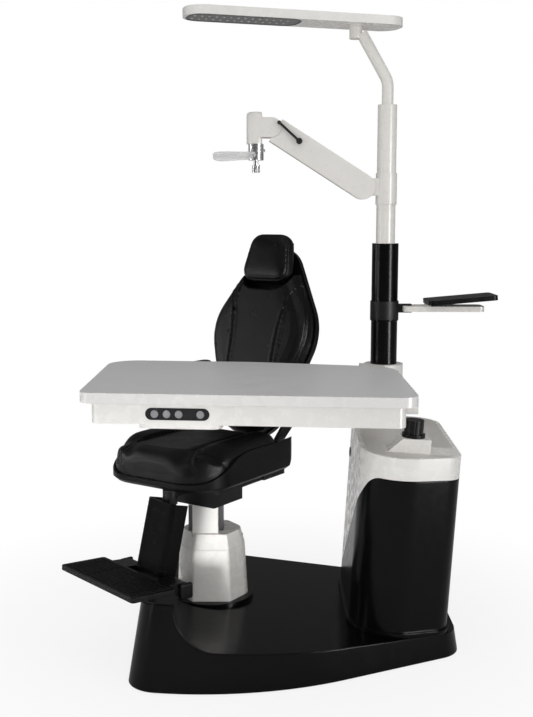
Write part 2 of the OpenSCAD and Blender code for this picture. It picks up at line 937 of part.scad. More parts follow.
module column_cover_lower() {
  color("whitesmoke") translate([cover_x, 0, cover_z]) difference() {
    linear_extrude(cover_low_h, scale = cover_low_share) cover_plan(0);
    translate([0, 0, -over]) linear_extrude(cover_low_h + over * 2, scale = cover_low_share) cover_plan(cover_wall);
  }
}

module column_cover_upper() {
  gap = seam * 2;
  color("whitesmoke") difference() {
    translate([cover_x, 0, cover_up_z]) difference() {
      linear_extrude(cover_up_h, scale = cover_up_share) scale(cover_low_share) cover_plan(0);
      translate([0, 0, -cover_wall])
        linear_extrude(cover_up_h, scale = cover_up_share) scale(cover_low_share) cover_plan(cover_wall);
    }
    block(-lift_w / 2 - rail_w - gap, lift_w / 2 + rail_w + gap, -rail_d / 2 - gap, rail_d / 2 + gap,
      cover_up_z, cut);
    for (m = [0, 1]) translate([cover_x, 0, screw_z]) mirror([m, 0, 0]) {
      axle(screw_seat, cut, 0, 0, screw_head_r + pole_gap);
      axle(0, cut, 0, 0, screw_r);
    }
    block(-lift_w / 2 - gap, lift_w / 2 + gap, -lift_d / 2 - gap, lift_d / 2 + gap, cover_up_z, cut);
  }
}

module cover_screws() {
  color("silver") for (m = [0, 1]) translate([cover_x, 0, screw_z]) mirror([m, 0, 0]) {
    axle(screw_seat, screw_seat + screw_head_h, 0, 0, screw_head_r);
    axle(screw_seat - screw_l, screw_seat + over, 0, 0, screw_r);
  }
}

module swivel_bearing() {
  color("silver") difference() {
    post(0, 0, lift_top, bearing_top, bearing_r);
    post(0, 0, lift_top - over, bearing_top + over, bearing_in_r);
  }
}

// Chair

module seat_frame() {
  f = frame_front;
  r = frame_rear;
  t = frame_wall;
  color("#3a3a3d") in_chair() {
    difference() {
      block(-frame_w, frame_w, -f, r, frame_z, frame_z + frame_h);
      block(t - frame_w, frame_w - t, t - f, r - t, frame_z + t, bearing_top);
      block(t - frame_w, frame_w - t, t - f, r - t, bearing_top + t * 2, frame_z + frame_h - t);
      post(0, 0, frame_z - over, bearing_top, bearing_r + slide_gap);
    }
    for (m = [0, 1]) mirror([m, 0, 0])
      block(rail_in, rail_out, -rail_front, back_pin_y, rail_z, shell_z);
    for (y = [-f, r - long_rail_s]) block(-rail_in - over, rail_in + over, y, y + long_rail_s, rail_z, shell_z);
    difference() {
      union() {
        block(-leg_pin_r * 2, leg_pin_r * 2, -leg_y, over - f, eye_z, rail_z + over);
        post(0, -leg_y, eye_z, rail_z + over, leg_pin_r * 2);
      }
      post(0, -leg_y, eye_z - over, shell_z, leg_pin_r + pin_fit);
    }
  }
}

module seat_plan(inset) {
  a = shell_w - shell_front_r;
  b = shell_w - shell_rear_r;
  y = shell_front_r - shell_front;
  y1 = shell_rear + shell_wing - shell_rear_r;
  outline([[-a, y, shell_front_r], [a, y, shell_front_r],
    [b, y1, shell_rear_r], [-b, y1, shell_rear_r]], inset);
}

// the shell's edge along its side
module edge_side() {
  low = shell_z + shell_edge_front;
  rise = shell_top - low;
  n = 14;
  polygon([
    [-cut, shell_z - shell_wall],
    [-cut, low],
    for (i = [0:n]) [-shell_front + shell_rise * i / n, low + rise * (1 - cos(180 * i / n)) / 2],
    [shell_rear + shell_wing, shell_top],
    [shell_rear + shell_wing * 0.6, shell_z + shell_edge_side * 0.3],
    [shell_rear + shell_wing * 0.1, shell_z - shell_wall]]);
}

module seat_shell() {
  chamfer = shell_wall * 1.6;
  w = shell_w - shell_wall * 1.5;
  color("#242426") in_chair() intersection() {
    difference() {
      union() {
        translate([0, 0, shell_z + chamfer]) linear_extrude(cut) seat_plan(0);
        hull() {
          translate([0, 0, shell_z]) linear_extrude(over) seat_plan(chamfer);
          translate([0, 0, shell_z + chamfer - over]) linear_extrude(over * 2) seat_plan(0);
        }
      }
      difference() {
        translate([0, 0, shell_z + shell_wall]) linear_extrude(cut) seat_plan(shell_wall);
        block(-cut, cut, shell_rear - shell_wall, cut, -cut, shell_top - shell_wall);
      }
      block(-w, w, shell_rear, cut, -cut, cut);
    }
    side_plate(-cut, cut) edge_side();
  }
}

// soft block with a rounded upper edge
module puff(c, z0, z1, edge) {
  hull() {
    translate([0, 0, z0]) linear_extrude(over) outline(c, 0, $fn = 32);
    for (i = [0:3]) translate([0, 0, z1 - edge + edge * sin(i * 30) - over])
      linear_extrude(over) outline(c, edge * (1 - cos(i * 30)), $fn = 32);
  }
}

module seat_cushion() {
  r = seat_round;
  x = shell_w - seat_in;
  y0 = seat_in - shell_front;
  y1 = shell_rear - seat_in;
  z0 = shell_z + shell_wall + seam / 2;
  front_z = shell_z + shell_edge_front + seat_front_h;
  color("#2a2a2c") in_chair() difference() {
    union() {
      puff(corners(-x, x, y0, y1, shell_rear_r), z0, shell_top, r);
      puff(corners(-x, -x + seat_roll_w * 1.4, y0 + seat_roll_w * 1.2, y1, r), z0, seat_top + seat_roll_h, r * 0.9);
      puff(corners(x - seat_roll_w * 1.4, x, y0 + seat_roll_w * 1.2, y1, r), z0, seat_top + seat_roll_h, r * 0.9);
      puff(corners(seat_roll_w * 1.5 - x, x - seat_roll_w * 1.5, y0, y1, r), z0, seat_top, r * 0.5);
      puff(corners(-x, x, y0, y0 + seat_roll_w * 1.6, r), z0, front_z, r * 0.95);
      puff(corners(-x, x, y0, y0 + seat_roll_w * 2.4, r), z0, front_z - seat_roll_h, r * 0.95);
      puff(corners(-x, x, y1 - seat_roll_w * 1.5, y1, r), z0, seat_top, r * 0.8);
      puff(corners(-x * 0.8, x * 0.8, y0 + seat_roll_w, y1, r), z0, shell_top + seat_crown * 0.5, r * 0.6);
    }
    intersection() {
      translate([0, 0, z0 - over]) linear_extrude(cut) difference() {
        square(cut, center = true);
        seat_plan(seat_in, $fn = 32);
      }
    }
  }
}

module back_brackets() {
  t = back_plate_t;
  e = back_eye_r;
  color("dimgray") in_chair() {
    for (m = [0, 1]) mirror([m, 0, 0]) difference() {
      side_plate(rail_out, rail_out + t) {
        translate([back_pin_y, back_pin_z]) circle(e);
        polygon([[back_pin_y - frame_w, rail_z], [back_pin_y + e, rail_z], [back_pin_y + e, back_pin_z],
          [back_pin_y - e, back_pin_z], [back_pin_y - e, shell_z - seam], [back_pin_y - frame_w, shell_z - seam]]);
      }
      axle(rail_out - over, rail_out + t + over, back_pin_y, back_pin_z, back_pin_r);
    }
    block(-rail_out, rail_out, back_pin_y, back_pin_y + e, rail_z, shell_z);
  }
}

module hinge_pins() {
  t = back_plate_t;
  color("silver") in_chair() for (m = [0, 1]) mirror([m, 0, 0]) {
    axle(bar_in - t / 2, rail_out + t + t / 2, back_pin_y, back_pin_z, back_pin_r);
    axle(rail_out + t, rail_out + t * 2, back_pin_y, back_pin_z, back_pin_r * 1.5);
  }
}

// Backrest

function back_circles() = [[0, back_low_z, back_low_r], [0, back_mid_z, back_mid_r],
  [0, back_top_z, back_top_r], [0, back_mid_z, back_mid_r]];

module back_shell() {
  t = back_bar_t;
  e = back_eye_r * 0.85;
  arm_z = back_low_z * 0.88;
  strap = arm_tube_y + armrest_pin_r * 1.75;
  color("#303033") in_back() difference() {
    union() {
      front_plate(shell_front_y, back_rear) outline(back_circles());
      for (m = [0, 1]) mirror([m, 0, 0]) side_plate(bar_in, bar_in + t)
        outline([[0, 0, e], [back_rear, arm_z, e], [back_rear * 0.9, arm_z + e, e]]);
      block(-bar_in - over, bar_in + over, back_rear - over, back_rear + t, arm_z - e, arm_z + e * 2);
      for (m = [0, 1]) mirror([m, 0, 0])
        block(back_mid_r * 0.5, back_mid_r * 0.7, back_rear - over, strap,
          armrest_z - armrest_pin_r * 2, armrest_z + armrest_pin_r * 2);
    }
    for (m = [-1, 1]) post(m * head_post_x, post_y, back_mid_z, cut, head_post_r + pin_fit);
    axle(-cut, cut, 0, 0, back_pin_r + pin_fit);
    axle(-cut, cut, arm_tube_y, armrest_z, armrest_pin_r);
  }
}

module back_cushion() {
  f = shell_front_y;
  n = 3;
  r = back_pad_round;
  groove = back_bar_t * 0.7;
  color("#2a2a2c") in_back() difference() {
    hull() {
      front_plate(f - over, f) outline(back_circles(), back_pad_inset, $fn = 40);
      for (i = [0:n]) {
        y = pad_front + r * (1 - sin(i * 30));
        front_plate(y, y + over) outline(back_circles(), back_pad_inset + r * (1 - cos(i * 30)), $fn = 40);
      }
      for (i = [1:n]) {
        y = pad_front - back_crown * sin(i * 30);
        front_plate(y, y + over)
          outline(back_circles(), r + (back_top_r - r * 1.5) * (1 - cos(i * 30)), $fn = 40);
      }
    }
    front_plate(-cut, cut) headrest_plan(-head_gap * 0.9);
    block(-cut, cut, -cut, cut, head_z - head_h * 0.15, cut);
    for (m = [0, 1]) mirror([m, 0, 0]) front_plate(-cut, pad_front) polygon([
      [back_low_r * 0.62, back_low_z - back_low_r], [back_low_r * 0.62 + groove, back_low_z - back_low_r],
      [back_mid_r * 0.52 + groove, back_mid_z], [back_top_r * 0.72 + groove, back_top_z],
      [back_top_r * 0.72, back_top_z], [back_mid_r * 0.52, back_mid_z]]);
  }
}

module armrest_tube() {
  color("silver") in_back() axle(-arm_x - armrest_w + armrest_pin_r, arm_x + armrest_w - armrest_pin_r,
    arm_tube_y, armrest_z, armrest_pin_r);
}

module armrest() {
  r = armrest_w / 2;
  t = armrest_t / 2;
  y = armrest_pin_r * 2;
  color("#2a2a2c") in_back() translate([0, arm_tube_y, armrest_z]) rotate([back_lean, 0, 0]) difference() {
    hull() for (i = [-2:2]) translate([0, 0, t * sin(i * 45) - over / 2])
      linear_extrude(over) outline([[arm_x + r, r - armrest_l + y, r], [arm_x + r, 0, r * 0.98]],
        t * 0.6 * (1 - cos(i * 45)), $fn = 32);
    axle(arm_x - over, arm_x + armrest_w + over, 0, 0, armrest_pin_r + pin_fit);
  }
}

module left_armrest() {
  armrest();
}

module right_armrest() {
  color("slategray") in_chair() mirror([1, 0, 0]) rotate([0, 0, chair_turn]) armrest();
}

module headrest_plan(inset) {
  r = head_h * 0.27;
  z = head_h / 2 - r;
  translate([0, head_z]) outline([[r - head_w, -z, r], [head_w - r, -z, r], [head_top_w - r, z, r],
    [r - head_top_w, z, r]], inset);
}

module headrest_posts() {
  x = head_post_x + head_post_r * 2;
  top = head_pivot_z + head_block_h * 0.35;
  color("silver") in_back() {
    for (m = [-1, 1]) post(m * head_post_x, post_y, top - head_post_l, top, head_post_r);
    block(-x, x, head_y + head_post_r * 1.3, post_y + head_post_r * 1.5, top - head_block_h * 0.8, top);
    axle(-x, x, head_y, head_pivot_z, head_post_r);
    for (m = [-1, 1]) block(m * x - head_post_r / 2, m * x + head_post_r / 2, head_y, head_y + head_post_r * 2,
      head_pivot_z - head_post_r / 2, head_pivot_z + head_post_r / 2);
  }
}

module headrest_cushion() {
  r = head_round;
  color("#2a2a2c") in_back() difference() {
    hull() for (i = [-3:3]) {
      y = head_y - head_t / 2 + head_t / 2 * sin(i * 30);
      front_plate(y - over / 2, y + over / 2) headrest_plan(r * (1 - cos(i * 30)), $fn = 32);
    }
    axle(-cut, cut, head_y, head_pivot_z, head_post_r + pole_gap);
  }
}

// Footrest

module leg_bracket() {
  lower = [0, -hinge_y, hinge_z];
  lean = atan(hinge_y / (leg_top - hinge_z));
  k = leg_w - leg_wall * 1.5;
  color("#3a3a3d") in_leg() difference() {
    union() {
      post(0, 0, leg_top - leg_pin_r * 2, leg_top, leg_pin_r * 2);
      post(0, 0, leg_top - over, shell_z - shell_wall, leg_pin_r);
      intersection() {
        translate(lower) rotate([-lean, 0, 0])
          block(-leg_pin_r * 2, leg_pin_r * 2, -leg_pin_r, leg_pin_r, -hinge_r / 2, leg_top - hinge_z);
        block(-cut, cut, -cut, cut, 0, leg_top);
      }
      axle(-k, k, -hinge_y, hinge_z, hinge_r);
    }
    axle(-k - over, k + over, -hinge_y, hinge_z, hinge_pin_r);
  }
}

module leg_cover() {
  lean = atan(hinge_y / (leg_top - hinge_z));
  f = leg_d * 0.62;
  c = leg_d * 0.2;
  color("#242426") in_leg() difference() {
    translate([0, -hinge_y, hinge_z]) rotate([-lean, 0, 0]) linear_extrude(leg_l) difference() {
      polygon([[-leg_w, leg_d - f], [-leg_w, c - f], [c - leg_w, -f], [leg_w - c, -f], [leg_w, c - f],
        [leg_w, leg_d - f]]);
      polygon([[leg_wall - leg_w, cut], [leg_wall - leg_w, c - f + leg_wall / 2],
        [c - leg_w + leg_wall / 2, leg_wall - f], [leg_w - c - leg_wall / 2, leg_wall - f],
        [leg_w - leg_wall, c - f + leg_wall / 2], [leg_w - leg_wall, cut]]);
    }
    axle(-cut, cut, -hinge_y, hinge_z, hinge_r + seam);
  }
}

// on the footplate, y = 0 at its rear edge
module on_plate() {
  in_leg() translate([0, -foot_rear, foot_z]) rotate([-foot_tilt, 0, 0]) children();
}

module footplate() {
  k = leg_w + seam;
  color("#242426") {
    on_plate() linear_extrude(foot_t) outline(corners(-foot_w, foot_w, -foot_d, 0, foot_corner));
    in_leg() for (m = [0, 1]) mirror([m, 0, 0]) difference() {
      side_plate(k, hinge_w) outline([[-foot_rear - foot_corner, foot_z + foot_t / 2, foot_t / 2],
        [-hinge_y, hinge_z, hinge_r]]);
      axle(k - over, hinge_w + over, -hinge_y, hinge_z, hinge_pin_r + pin_fit);
    }
  }
}

module mat(x, w) {
  n = mat_ribs;
  p = mat_d / n;
  y0 = (foot_d - mat_d) / 2;
  block(x - w / 2, x + w / 2, -y0 - mat_d, -y0, foot_t, foot_t + mat_t / 2);
  for (i = [0:n - 1]) block(x - w / 2 + p / 3, x + w / 2 - p / 3, -y0 - p * (i + 0.75), -y0 - p * (i + 0.25),
    foot_t, foot_t + mat_t);
}

module footplate_mats() {
  s = mat_mid_w / 2 + mat_side_w / 2 + mat_t;
  color("#39393b") on_plate() {
    mat(0, mat_mid_w);
    mat(-s, mat_side_w);
    mat(s, mat_side_w);
  }
}

module footplate_pin() {
  color("silver") in_leg() axle(-hinge_w, hinge_w, -hinge_y, hinge_z, hinge_pin_r);
}

// Stand

module stand_plan(inset) {
  outline([[stand_left + stand_fl_r, stand_fl_r - stand_front, stand_fl_r],
    [stand_right - stand_fr_r, stand_fr_r - stand_front_right, stand_fr_r],
    [stand_right - stand_r_r, stand_rear - stand_r_r, stand_r_r],
    [stand_left + stand_fl_r, stand_rear - stand_fl_r, stand_fl_r]], inset);
}

module under_top(drop) {
  on_top() block(-cut, cut, -cut, cut, -cut, -drop);
}

// the stand below the sweep and the band
module below_band(gap) {
  q = [-sweep_y, band_z - sweep_r - gap];
  s = tan(sweep_slope);
  tip = [q[0] + sweep_r * sin(sweep_slope), q[1] + sweep_r * cos(sweep_slope)];
  y1 = tip[0] + tip[1] / s;
  on_deck() multmatrix([[1, 0, 0, 0], [1, 1, 0, -stand_left], [0, 0, 1, 0]])
    side_plate(-cut, cut) {
      translate(q) circle(sweep_r);
      polygon([[-cut * 2, -cut], [y1, -cut], [y1, 0], tip, q, [q[0], q[1] + sweep_r],
        [-cut * 2, q[1] + sweep_r]]);
    }
}

module stand_body() {
  difference() {
    intersection() {
      on_deck() linear_extrude(stand_h * 1.1) stand_plan(0);
      under_top(0);
    }
    intersection() {
      on_deck() translate([0, 0, -over]) linear_extrude(stand_h * 1.1) stand_plan(stand_wall);
      under_top(top_t);
    }
    pole_bore(seam);
  }
}

module pole_bore(gap) {
  post(pole_x, pole_y, -cut, cut * 2, low_pole_r + gap);
}

module on_boss() {
  on_top() translate([knob_x - stand_h * sin(deck_fall), knob_y, 0]) children();
}

module stand_frame() {
  s = post_s;
  x0 = stand_left + s * 1.3;
  x1 = stand_right - s * 2;
  y0 = -stand_front / 2;
  y1 = pole_y - low_pole_r - s * 1.5;
  z0 = frame_top - s;
  color("dimgray") {
    for (x = [x0, x1], y = [y0, y1]) block(x, x + s, y, y + s, plate_top, frame_top);
    for (y = [y0, y1]) block(x0, x1 + s, y, y + s, z0, frame_top);
    for (x = [x0, x1]) block(x, x + s, y0, y1 + s, z0, frame_top);
    for (z = [plate_top, z0]) difference() {
      block(x0 + s / 2, x1 + s / 2, y1 + s - over, pole_y + low_pole_r + plate_t, z, z + plate_t);
      pole_bore(0);
    }
  }
}

module stand_lower_shell() {
  color("#242426") {
    intersection() {
      stand_body();
      below_band(0);
    }
    on_deck() difference() {
      linear_extrude(plinth_h) stand_plan(-plinth_lip);
      translate([0, 0, -over]) linear_extrude(plinth_h * 2) stand_plan(stand_wall / 2);
    }
  }
}

module side_recess(y, z, grow) {
  on_deck() translate([stand_left, y, z]) rotate([0, 90, 0])
    linear_extrude(insert_t * 4, center = true)
      outline(corners(-insert_h / 2 - grow, insert_h / 2 + grow, -insert_w / 2 - grow, insert_w / 2 + grow,
        insert_h / 8));
}

module socket_bore(r) {
  on_deck() axle(stand_left - cover_r, stand_left + stand_wall * 2, socket_y, socket_z, r);
}

module stand_upper_shell() {
  w = boss_w / 2;
  d = boss_d / 2;
  color("whitesmoke") difference() {
    union() {
      difference() {
        stand_body();
        below_band(-band_gap);
      }
      on_boss() front_plate(-d, d) polygon([[-w * 1.6, -over], [-w * 0.7, boss_h], [w, boss_h], [w, -over]]);
    }
    difference() {
      on_top() {
        translate([0, 0, -lid_t]) linear_extrude(cut) stand_plan(lid_inset);
        translate([0, 0, -cut]) linear_extrude(cut) stand_plan(lid_ledge);
      }
      on_boss() block(-w * 1.7, cut, -d * 1.2, d * 1.2, -top_t - lid_t, cut);
    }
    on_boss() translate([0, 0, boss_h * 0.5]) rotate([0, knob_tilt, 0]) cylinder(h = cut, r = knob_r * 0.3);
    side_recess(insert_y, insert_z, 0);
    socket_bore(socket_r);
    pole_bore(seam);
  }
}

module stand_lid() {
  w = boss_w / 2;
  d = boss_d / 2 * 1.2 + seam;
  color("gainsboro") difference() {
    on_top() translate([0, 0, -lid_t]) linear_extrude(lid_t) stand_plan(lid_inset + seam / 2);
    on_boss() block(-w * 1.7 - seam, cut, -d, d, -cut / 4, cut);
    pole_bore(seam);
    post(pole_x, pole_y, hub_z - knob_flange_h - seam, cut, hub_r * 0.85 + seam);
  }
}

module side_insert() {
  color("darkgray") on_deck() translate([stand_left, insert_y, insert_z]) rotate([0, 90, 0])
    linear_extrude(insert_t)
      outline(corners(-insert_h / 2, insert_h / 2, -insert_w / 2, insert_w / 2, insert_h / 8));
}

module side_socket() {
  x = stand_left;
  color("black") on_deck() difference() {
    union() {
      axle(x, x + stand_wall * 3, socket_y, socket_z, socket_r);
      axle(x - insert_t, x, socket_y, socket_z, socket_r * 1.3);
    }
    axle(x - cut, x + stand_wall * 2, socket_y, socket_z, socket_r * 0.55);
  }
}

module main_knob() {
  color("#1e1e20") on_boss() translate([0, 0, boss_h]) {
    translate([0, 0, seam]) cylinder(h = knob_flange_h, r = knob_flange_r);
    difference() {
      translate([0, 0, knob_flange_h]) cylinder(h = knob_h - knob_flange_h, r = knob_r);
      for (a = [0:30:330]) rotate([0, 0, a]) translate([knob_r * 1.06, 0, knob_flange_h + seam])
        cylinder(h = knob_h, r = knob_r * 0.12, $fn = 16);
    }
  }
}

// Table

module table_plan(inset) {
  t = tan(front_angle);
  f0 = table_front_left;
  xl = -table_left + table_fl_r;
  xr = table_right - table_fr_r;
  outline([[xl, table_fl_r - f0 - table_fl_r * t, table_fl_r],
    [xr, table_fr_r - f0 - (xr + table_left) * t, table_fr_r],
    [table_right - table_br_r, -table_rear_right - table_br_r, table_br_r],
    [table_bow_x, table_bow_y, table_bow_r],
    [-table_left + table_bl_r, table_rear_left - table_bl_r, table_bl_r]], inset, seam / 30);
}

module table_slab() {
  color("whitesmoke") difference() {
    translate([0, 0, slab_z]) linear_extrude(slab_t) table_plan(0);
    translate([0, 0, table_z - sheet_t]) linear_extrude(slab_t) table_plan(sheet_inset);
  }
}

module table_surface() {
  color("silver") translate([0, 0, table_z - sheet_t]) linear_extrude(sheet_t) table_plan(sheet_inset);
}

function front_y(x) = -table_front_left - (x + table_left) * tan(front_angle) + tray_front / cos(front_angle);

module tray_plan(inset) {
  r = tray_r;
  x0 = -table_left + tray_side;
  x1 = table_right - tray_side;
  outline([[x0 + r, front_y(x0 + r) + r, r], [x1 - r, front_y(x1 - r) + r, r],
    [x1 - r, front_y(x1 - r) + tray_d - r, r], [x0 + r, front_y(x0 + r) + tray_d - r, r]], inset);
}

// on the tray's front face, x from the panel's middle
module on_front() {
  translate([panel_x, front_y(panel_x) + tray_r * (1 - 1 / cos(front_angle)), panel_z])
    rotate([0, 0, -front_angle]) children();
}

module stadium(l, h) {
  outline([[(h - l) / 2, 0, h / 2], [(l - h) / 2, 0, h / 2]]);
}

button_places = [button_first, button_first + button_step, button_first + button_step * 2, button_last];

module table_tray() {
  p = pod_l / 2;
  color("whitesmoke") difference() {
    union() {
      translate([0, 0, tray_z]) linear_extrude(tray_h) tray_plan(0);
      on_front() translate([0, 0, tray_z - panel_z - pod_h]) linear_extrude(pod_h + over)
        outline(corners(-p * 0.93, p, 0, pod_d, tray_r));
    }
    translate([0, 0, tray_z + tray_wall]) linear_extrude(tray_h) tray_plan(tray_wall);
    on_front() {
      translate([0, 0, tray_z - panel_z - pod_h + tray_wall]) linear_extrude(pod_h + tray_wall)
        outline(corners(-p * 0.93 + tray_wall, p - tray_wall, tray_wall, pod_d - tray_wall, tray_r - tray_wall));
      front_plate(-panel_t, panel_t - panel_out) stadium(panel_l, panel_h);
      for (x = button_places) front_plate(-cut / 9, cut / 9) translate([x, 0]) circle(button_r + button_gap);
    }
  }
}

module control_panel() {
  color("black") on_front() difference() {
    front_plate(-panel_out, panel_t - panel_out) stadium(panel_l, panel_h);
    for (x = button_places) front_plate(-cut, cut) translate([x, 0]) circle(button_r + button_gap);
  }
}

module button(i) {
  color("white") on_front() {
    spindle(button_places[i], -panel_out - button_out, button_in, 0, button_r);
    spindle(button_places[i], tray_wall + over / 4, tray_wall * 1.7, 0, button_r * 1.25);
  }
}

module chair_up_button() {
  button(0);
}

module chair_down_button() {
  button(1);
}

module lamp_button() {
  button(2);
}

module power_button() {
  button(3);
}

module table_hub() {
  y1 = front_y(carrier_x - carrier_w / 2) + tray_d + seam;
  w = carrier_w / 2;
  b = hub_block_w / 2;
  color("darkgray") difference() {
    union() {
      post(pole_x, pole_y, hub_z, slab_z, hub_r);
      block(carrier_x - w, carrier_x + w, y1, pole_y, slab_z - carrier_h, slab_z);
      block(pole_x, pole_x + hub_block, pole_y - b, pole_y + b, hub_z + carrier_h * 0.4, slab_z - carrier_h * 2.9);
    }
    post(pole_x, pole_y, hub_z - over, slab_z + over, low_pole_r + pole_gap);
  }
}

// Pole

module lower_pole() {
  color("#1c1c1e") difference() {
    union() {
      post(pole_x, pole_y, plate_top, low_pole_top, low_pole_r);
      post(pole_x, pole_y, hub_z - knob_flange_h, hub_z, hub_r * 0.85);
      post(pole_x, pole_y, collar_z - pole_wall, collar_z, low_pole_r + collar_wall);
    }
    post(pole_x, pole_y, plate_top - over, low_pole_top + over, low_pole_r - pole_wall);
  }
}

module upper_pole() {
  z0 = low_pole_top - pole_overlap;
  ring = low_pole_r - pole_wall;
  color("whitesmoke") difference() {
    union() {
      post(pole_x, pole_y, z0, up_pole_top, up_pole_r);
      for (z = [z0, low_pole_top - ring]) post(pole_x, pole_y, z, z + ring, ring);
      post(pole_x, pole_y, carriage_z - pole_wall, carriage_z, carriage_r);
    }
    post(pole_x, pole_y, z0 - over, up_pole_top + over, up_pole_r - pole_wall);
  }
}

module shelf_collar() {
  s = stub_h / 2;
  x1 = low_pole_r + stub_l;
  m = shelf_z + shelf_t / 2;
  color("#2c2c2e") difference() {
    union() {
      post(pole_x, pole_y, collar_z, collar_z + collar_h, low_pole_r + collar_wall);
      block(pole_x, pole_x + x1, pole_y - s, pole_y + s, m - s, m + s);
    }
    post(pole_x, pole_y, collar_z - over, collar_z + collar_h + over, low_pole_r + pole_gap);
  }
}

module shelf_bar() {
  w = shelf_w / 2;
  x0 = pole_x + low_pole_r + collar_wall + stub_l / 4;
  s = stub_h / 2;
  x1 = pole_x + low_pole_r + stub_l;
  px = pole_x + pad_x + pad_t * 0.3;
  color("whitesmoke") difference() {
    union() {
      translate([0, 0, shelf_z]) linear_extrude(shelf_t)
        outline(corners(x0, x0 + shelf_l, pole_y - w, pole_y + w, shelf_t));
      spindle(px, pole_y - w * 0.8, pole_y + w * 0.8, shelf_z + shelf_t, pad_gap * 1.5);
    }
    block(x0 - over, x1, pole_y - s, pole_y + s, 0, cut * 2);
  }
}

module shelf_pad() {
  px = pole_x + pad_x + pad_t * 0.3;
  d = pad_d / 2;
  color("#242426") difference() {
    translate([px, pole_y, shelf_z + shelf_t]) rotate([0, -pad_tilt, 0])
      translate([0, 0, pad_gap]) linear_extrude(pad_t) outline(corners(-pad_t * 0.3, pad_l - pad_t * 0.3, -d, d, pad_t));
    spindle(px, pole_y - d - over, pole_y + d + over, shelf_z + shelf_t, pad_gap * 1.5 + pole_gap);
  }
}

// Refractor arm

module in_arm() {
  translate([pin_x, pole_y, arm_pin_z]) rotate([0, arm_slope, 0]) mirror([1, 0, 0]) children();
}

module arm_carriage() {
  t = tongue_t / 2;
  r = arm_h * 0.33;
  color("gainsboro") difference() {
    union() {
      post(pole_x, pole_y, carriage_z, carriage_z + carriage_h, carriage_r);
      translate([0, pole_y, 0]) front_plate(-t, t) outline([[pin_x, arm_pin_z, r], [pole_x - r, arm_pin_z, r]]);
      spindle(pin_x, pole_y - arm_t / 2 - seam, pole_y + arm_t / 2 + seam, arm_pin_z, arm_pin_r);
    }
    post(pole_x, pole_y, carriage_z - over, carriage_z + carriage_h + over, up_pole_r + pole_gap);
  }
}

module refractor_arm() {
  t = arm_t / 2;
  r = arm_h / 2 * 0.96;
  w = arm_wall;
  i = t - w;
  u = tongue_t / 2;
  color("whitesmoke") in_arm() difference() {
    union() {
      difference() {
        front_plate(-t, t) outline([[0, 0, r], [arm_l, 0, r]]);
        difference() {
          front_plate(-i, i) outline([[0, 0, r - w], [arm_l, 0, r - w]]);
          block(arm_l - barrel_r * 2.4, cut, -u, u, -cut, cut);
        }
        block(-cut, arm_h * 0.55, -i, i, -cut, cut);
        spindle(arm_l, -cut, cut, 0, barrel_r + seam);
        block(arm_l - barrel_r / 2, cut, -cut, cut, -cut, cut);
      }
      front_plate(-u, u) outline([[arm_l - barrel_r * 1.5, 0, barrel_r * 0.6], [arm_l, 0, barrel_r * 0.6]]);
    }
    spindle(0, -cut, cut, 0, arm_pin_r + pin_fit);
    spindle(arm_l, -cut, cut, 0, arm_pin_r + pin_fit);
    translate([arm_l * 0.72, 0, lever_r * 2]) spindle(0, -cut, 0, 0, lever_r * 0.8 + pin_fit);
  }
}

module arm_head() {
  t = arm_t / 2;
  u = tongue_t / 2 + seam * 2;
  color("whitesmoke") {
    difference() {
      union() {
        spindle(head_x, pole_y - t, pole_y + t, head_pin_z, barrel_r);
        translate([0, pole_y, 0]) front_plate(-t, t)
          polygon([[nose_cx, head_pin_z - barrel_r], [head_x, head_pin_z - barrel_r], [head_x, head_pin_z + barrel_r],
            [nose_cx, head_pin_z + barrel_r]]);
        translate([nose_cx, pole_y, nose_z]) rotate_extrude() {
          square([nose_r, nose_low + nose_up - nose_round]);
          square([nose_r - nose_round, nose_low + nose_up]);
          translate([nose_r - nose_round, nose_low + nose_up - nose_round]) circle(nose_round);
        }
      }
      block(head_x - barrel_r, cut, pole_y - u, pole_y + u, head_pin_z - barrel_r * 2, head_pin_z + barrel_r * 2);
      spindle(head_x, pole_y - cut, pole_y + cut, head_pin_z, arm_pin_r);
    }
    spindle(head_x, pole_y - t - seam, pole_y + t + seam, head_pin_z, arm_pin_r);
  }
}

module tilt_lever() {
  r = lever_r * 1.9;
  y = -arm_t / 2;
  l = lever_l;
  color("dimgray") in_arm() translate([arm_l * 0.72, 0, lever_r * 2]) {
    spindle(0, y - r * 1.4, y, 0, r);
    spindle(0, y - over, y + arm_wall, 0, lever_r * 0.8);
    translate([0, y - r, 0]) rotate([0, 90 + lever_share * arm_slope, 0]) {
      cylinder(h = l, r = lever_r * 0.8);
      translate([0, 0, l]) sphere(ball_r, $fn = 32);
    }
  }
}

lever_share = -0.3;

module refractor_holder() {
  color("silver") {
    post(nose_cx, pole_y, holder_z, nose_z, holder_r);
    post(nose_cx, pole_y, stem_z, holder_z + over, stem_r);
    post(nose_cx, pole_y, stem_z - small_knob_h * 0.7, stem_z + over, stem_r * 0.6);
    axle(nose_cx, nose_cx + holder_r * 1.2, pole_y, holder_z + holder_h * 0.6, stem_r * 0.6);
  }
}

module holder_knob() {
  color("dimgray") difference() {
    post(nose_cx, pole_y, knob_z, stem_z, small_knob_r);
    post(nose_cx, pole_y, stem_z - small_knob_h * 0.75, stem_z + over, stem_r * 0.6 + pin_fit);
    for (a = [0:30:330]) translate([nose_cx, pole_y, 0]) rotate([0, 0, a])
      post(small_knob_r, 0, knob_z - over, stem_z - small_knob_h / 5, small_knob_r * 0.12, $fn = 12);
  }
}

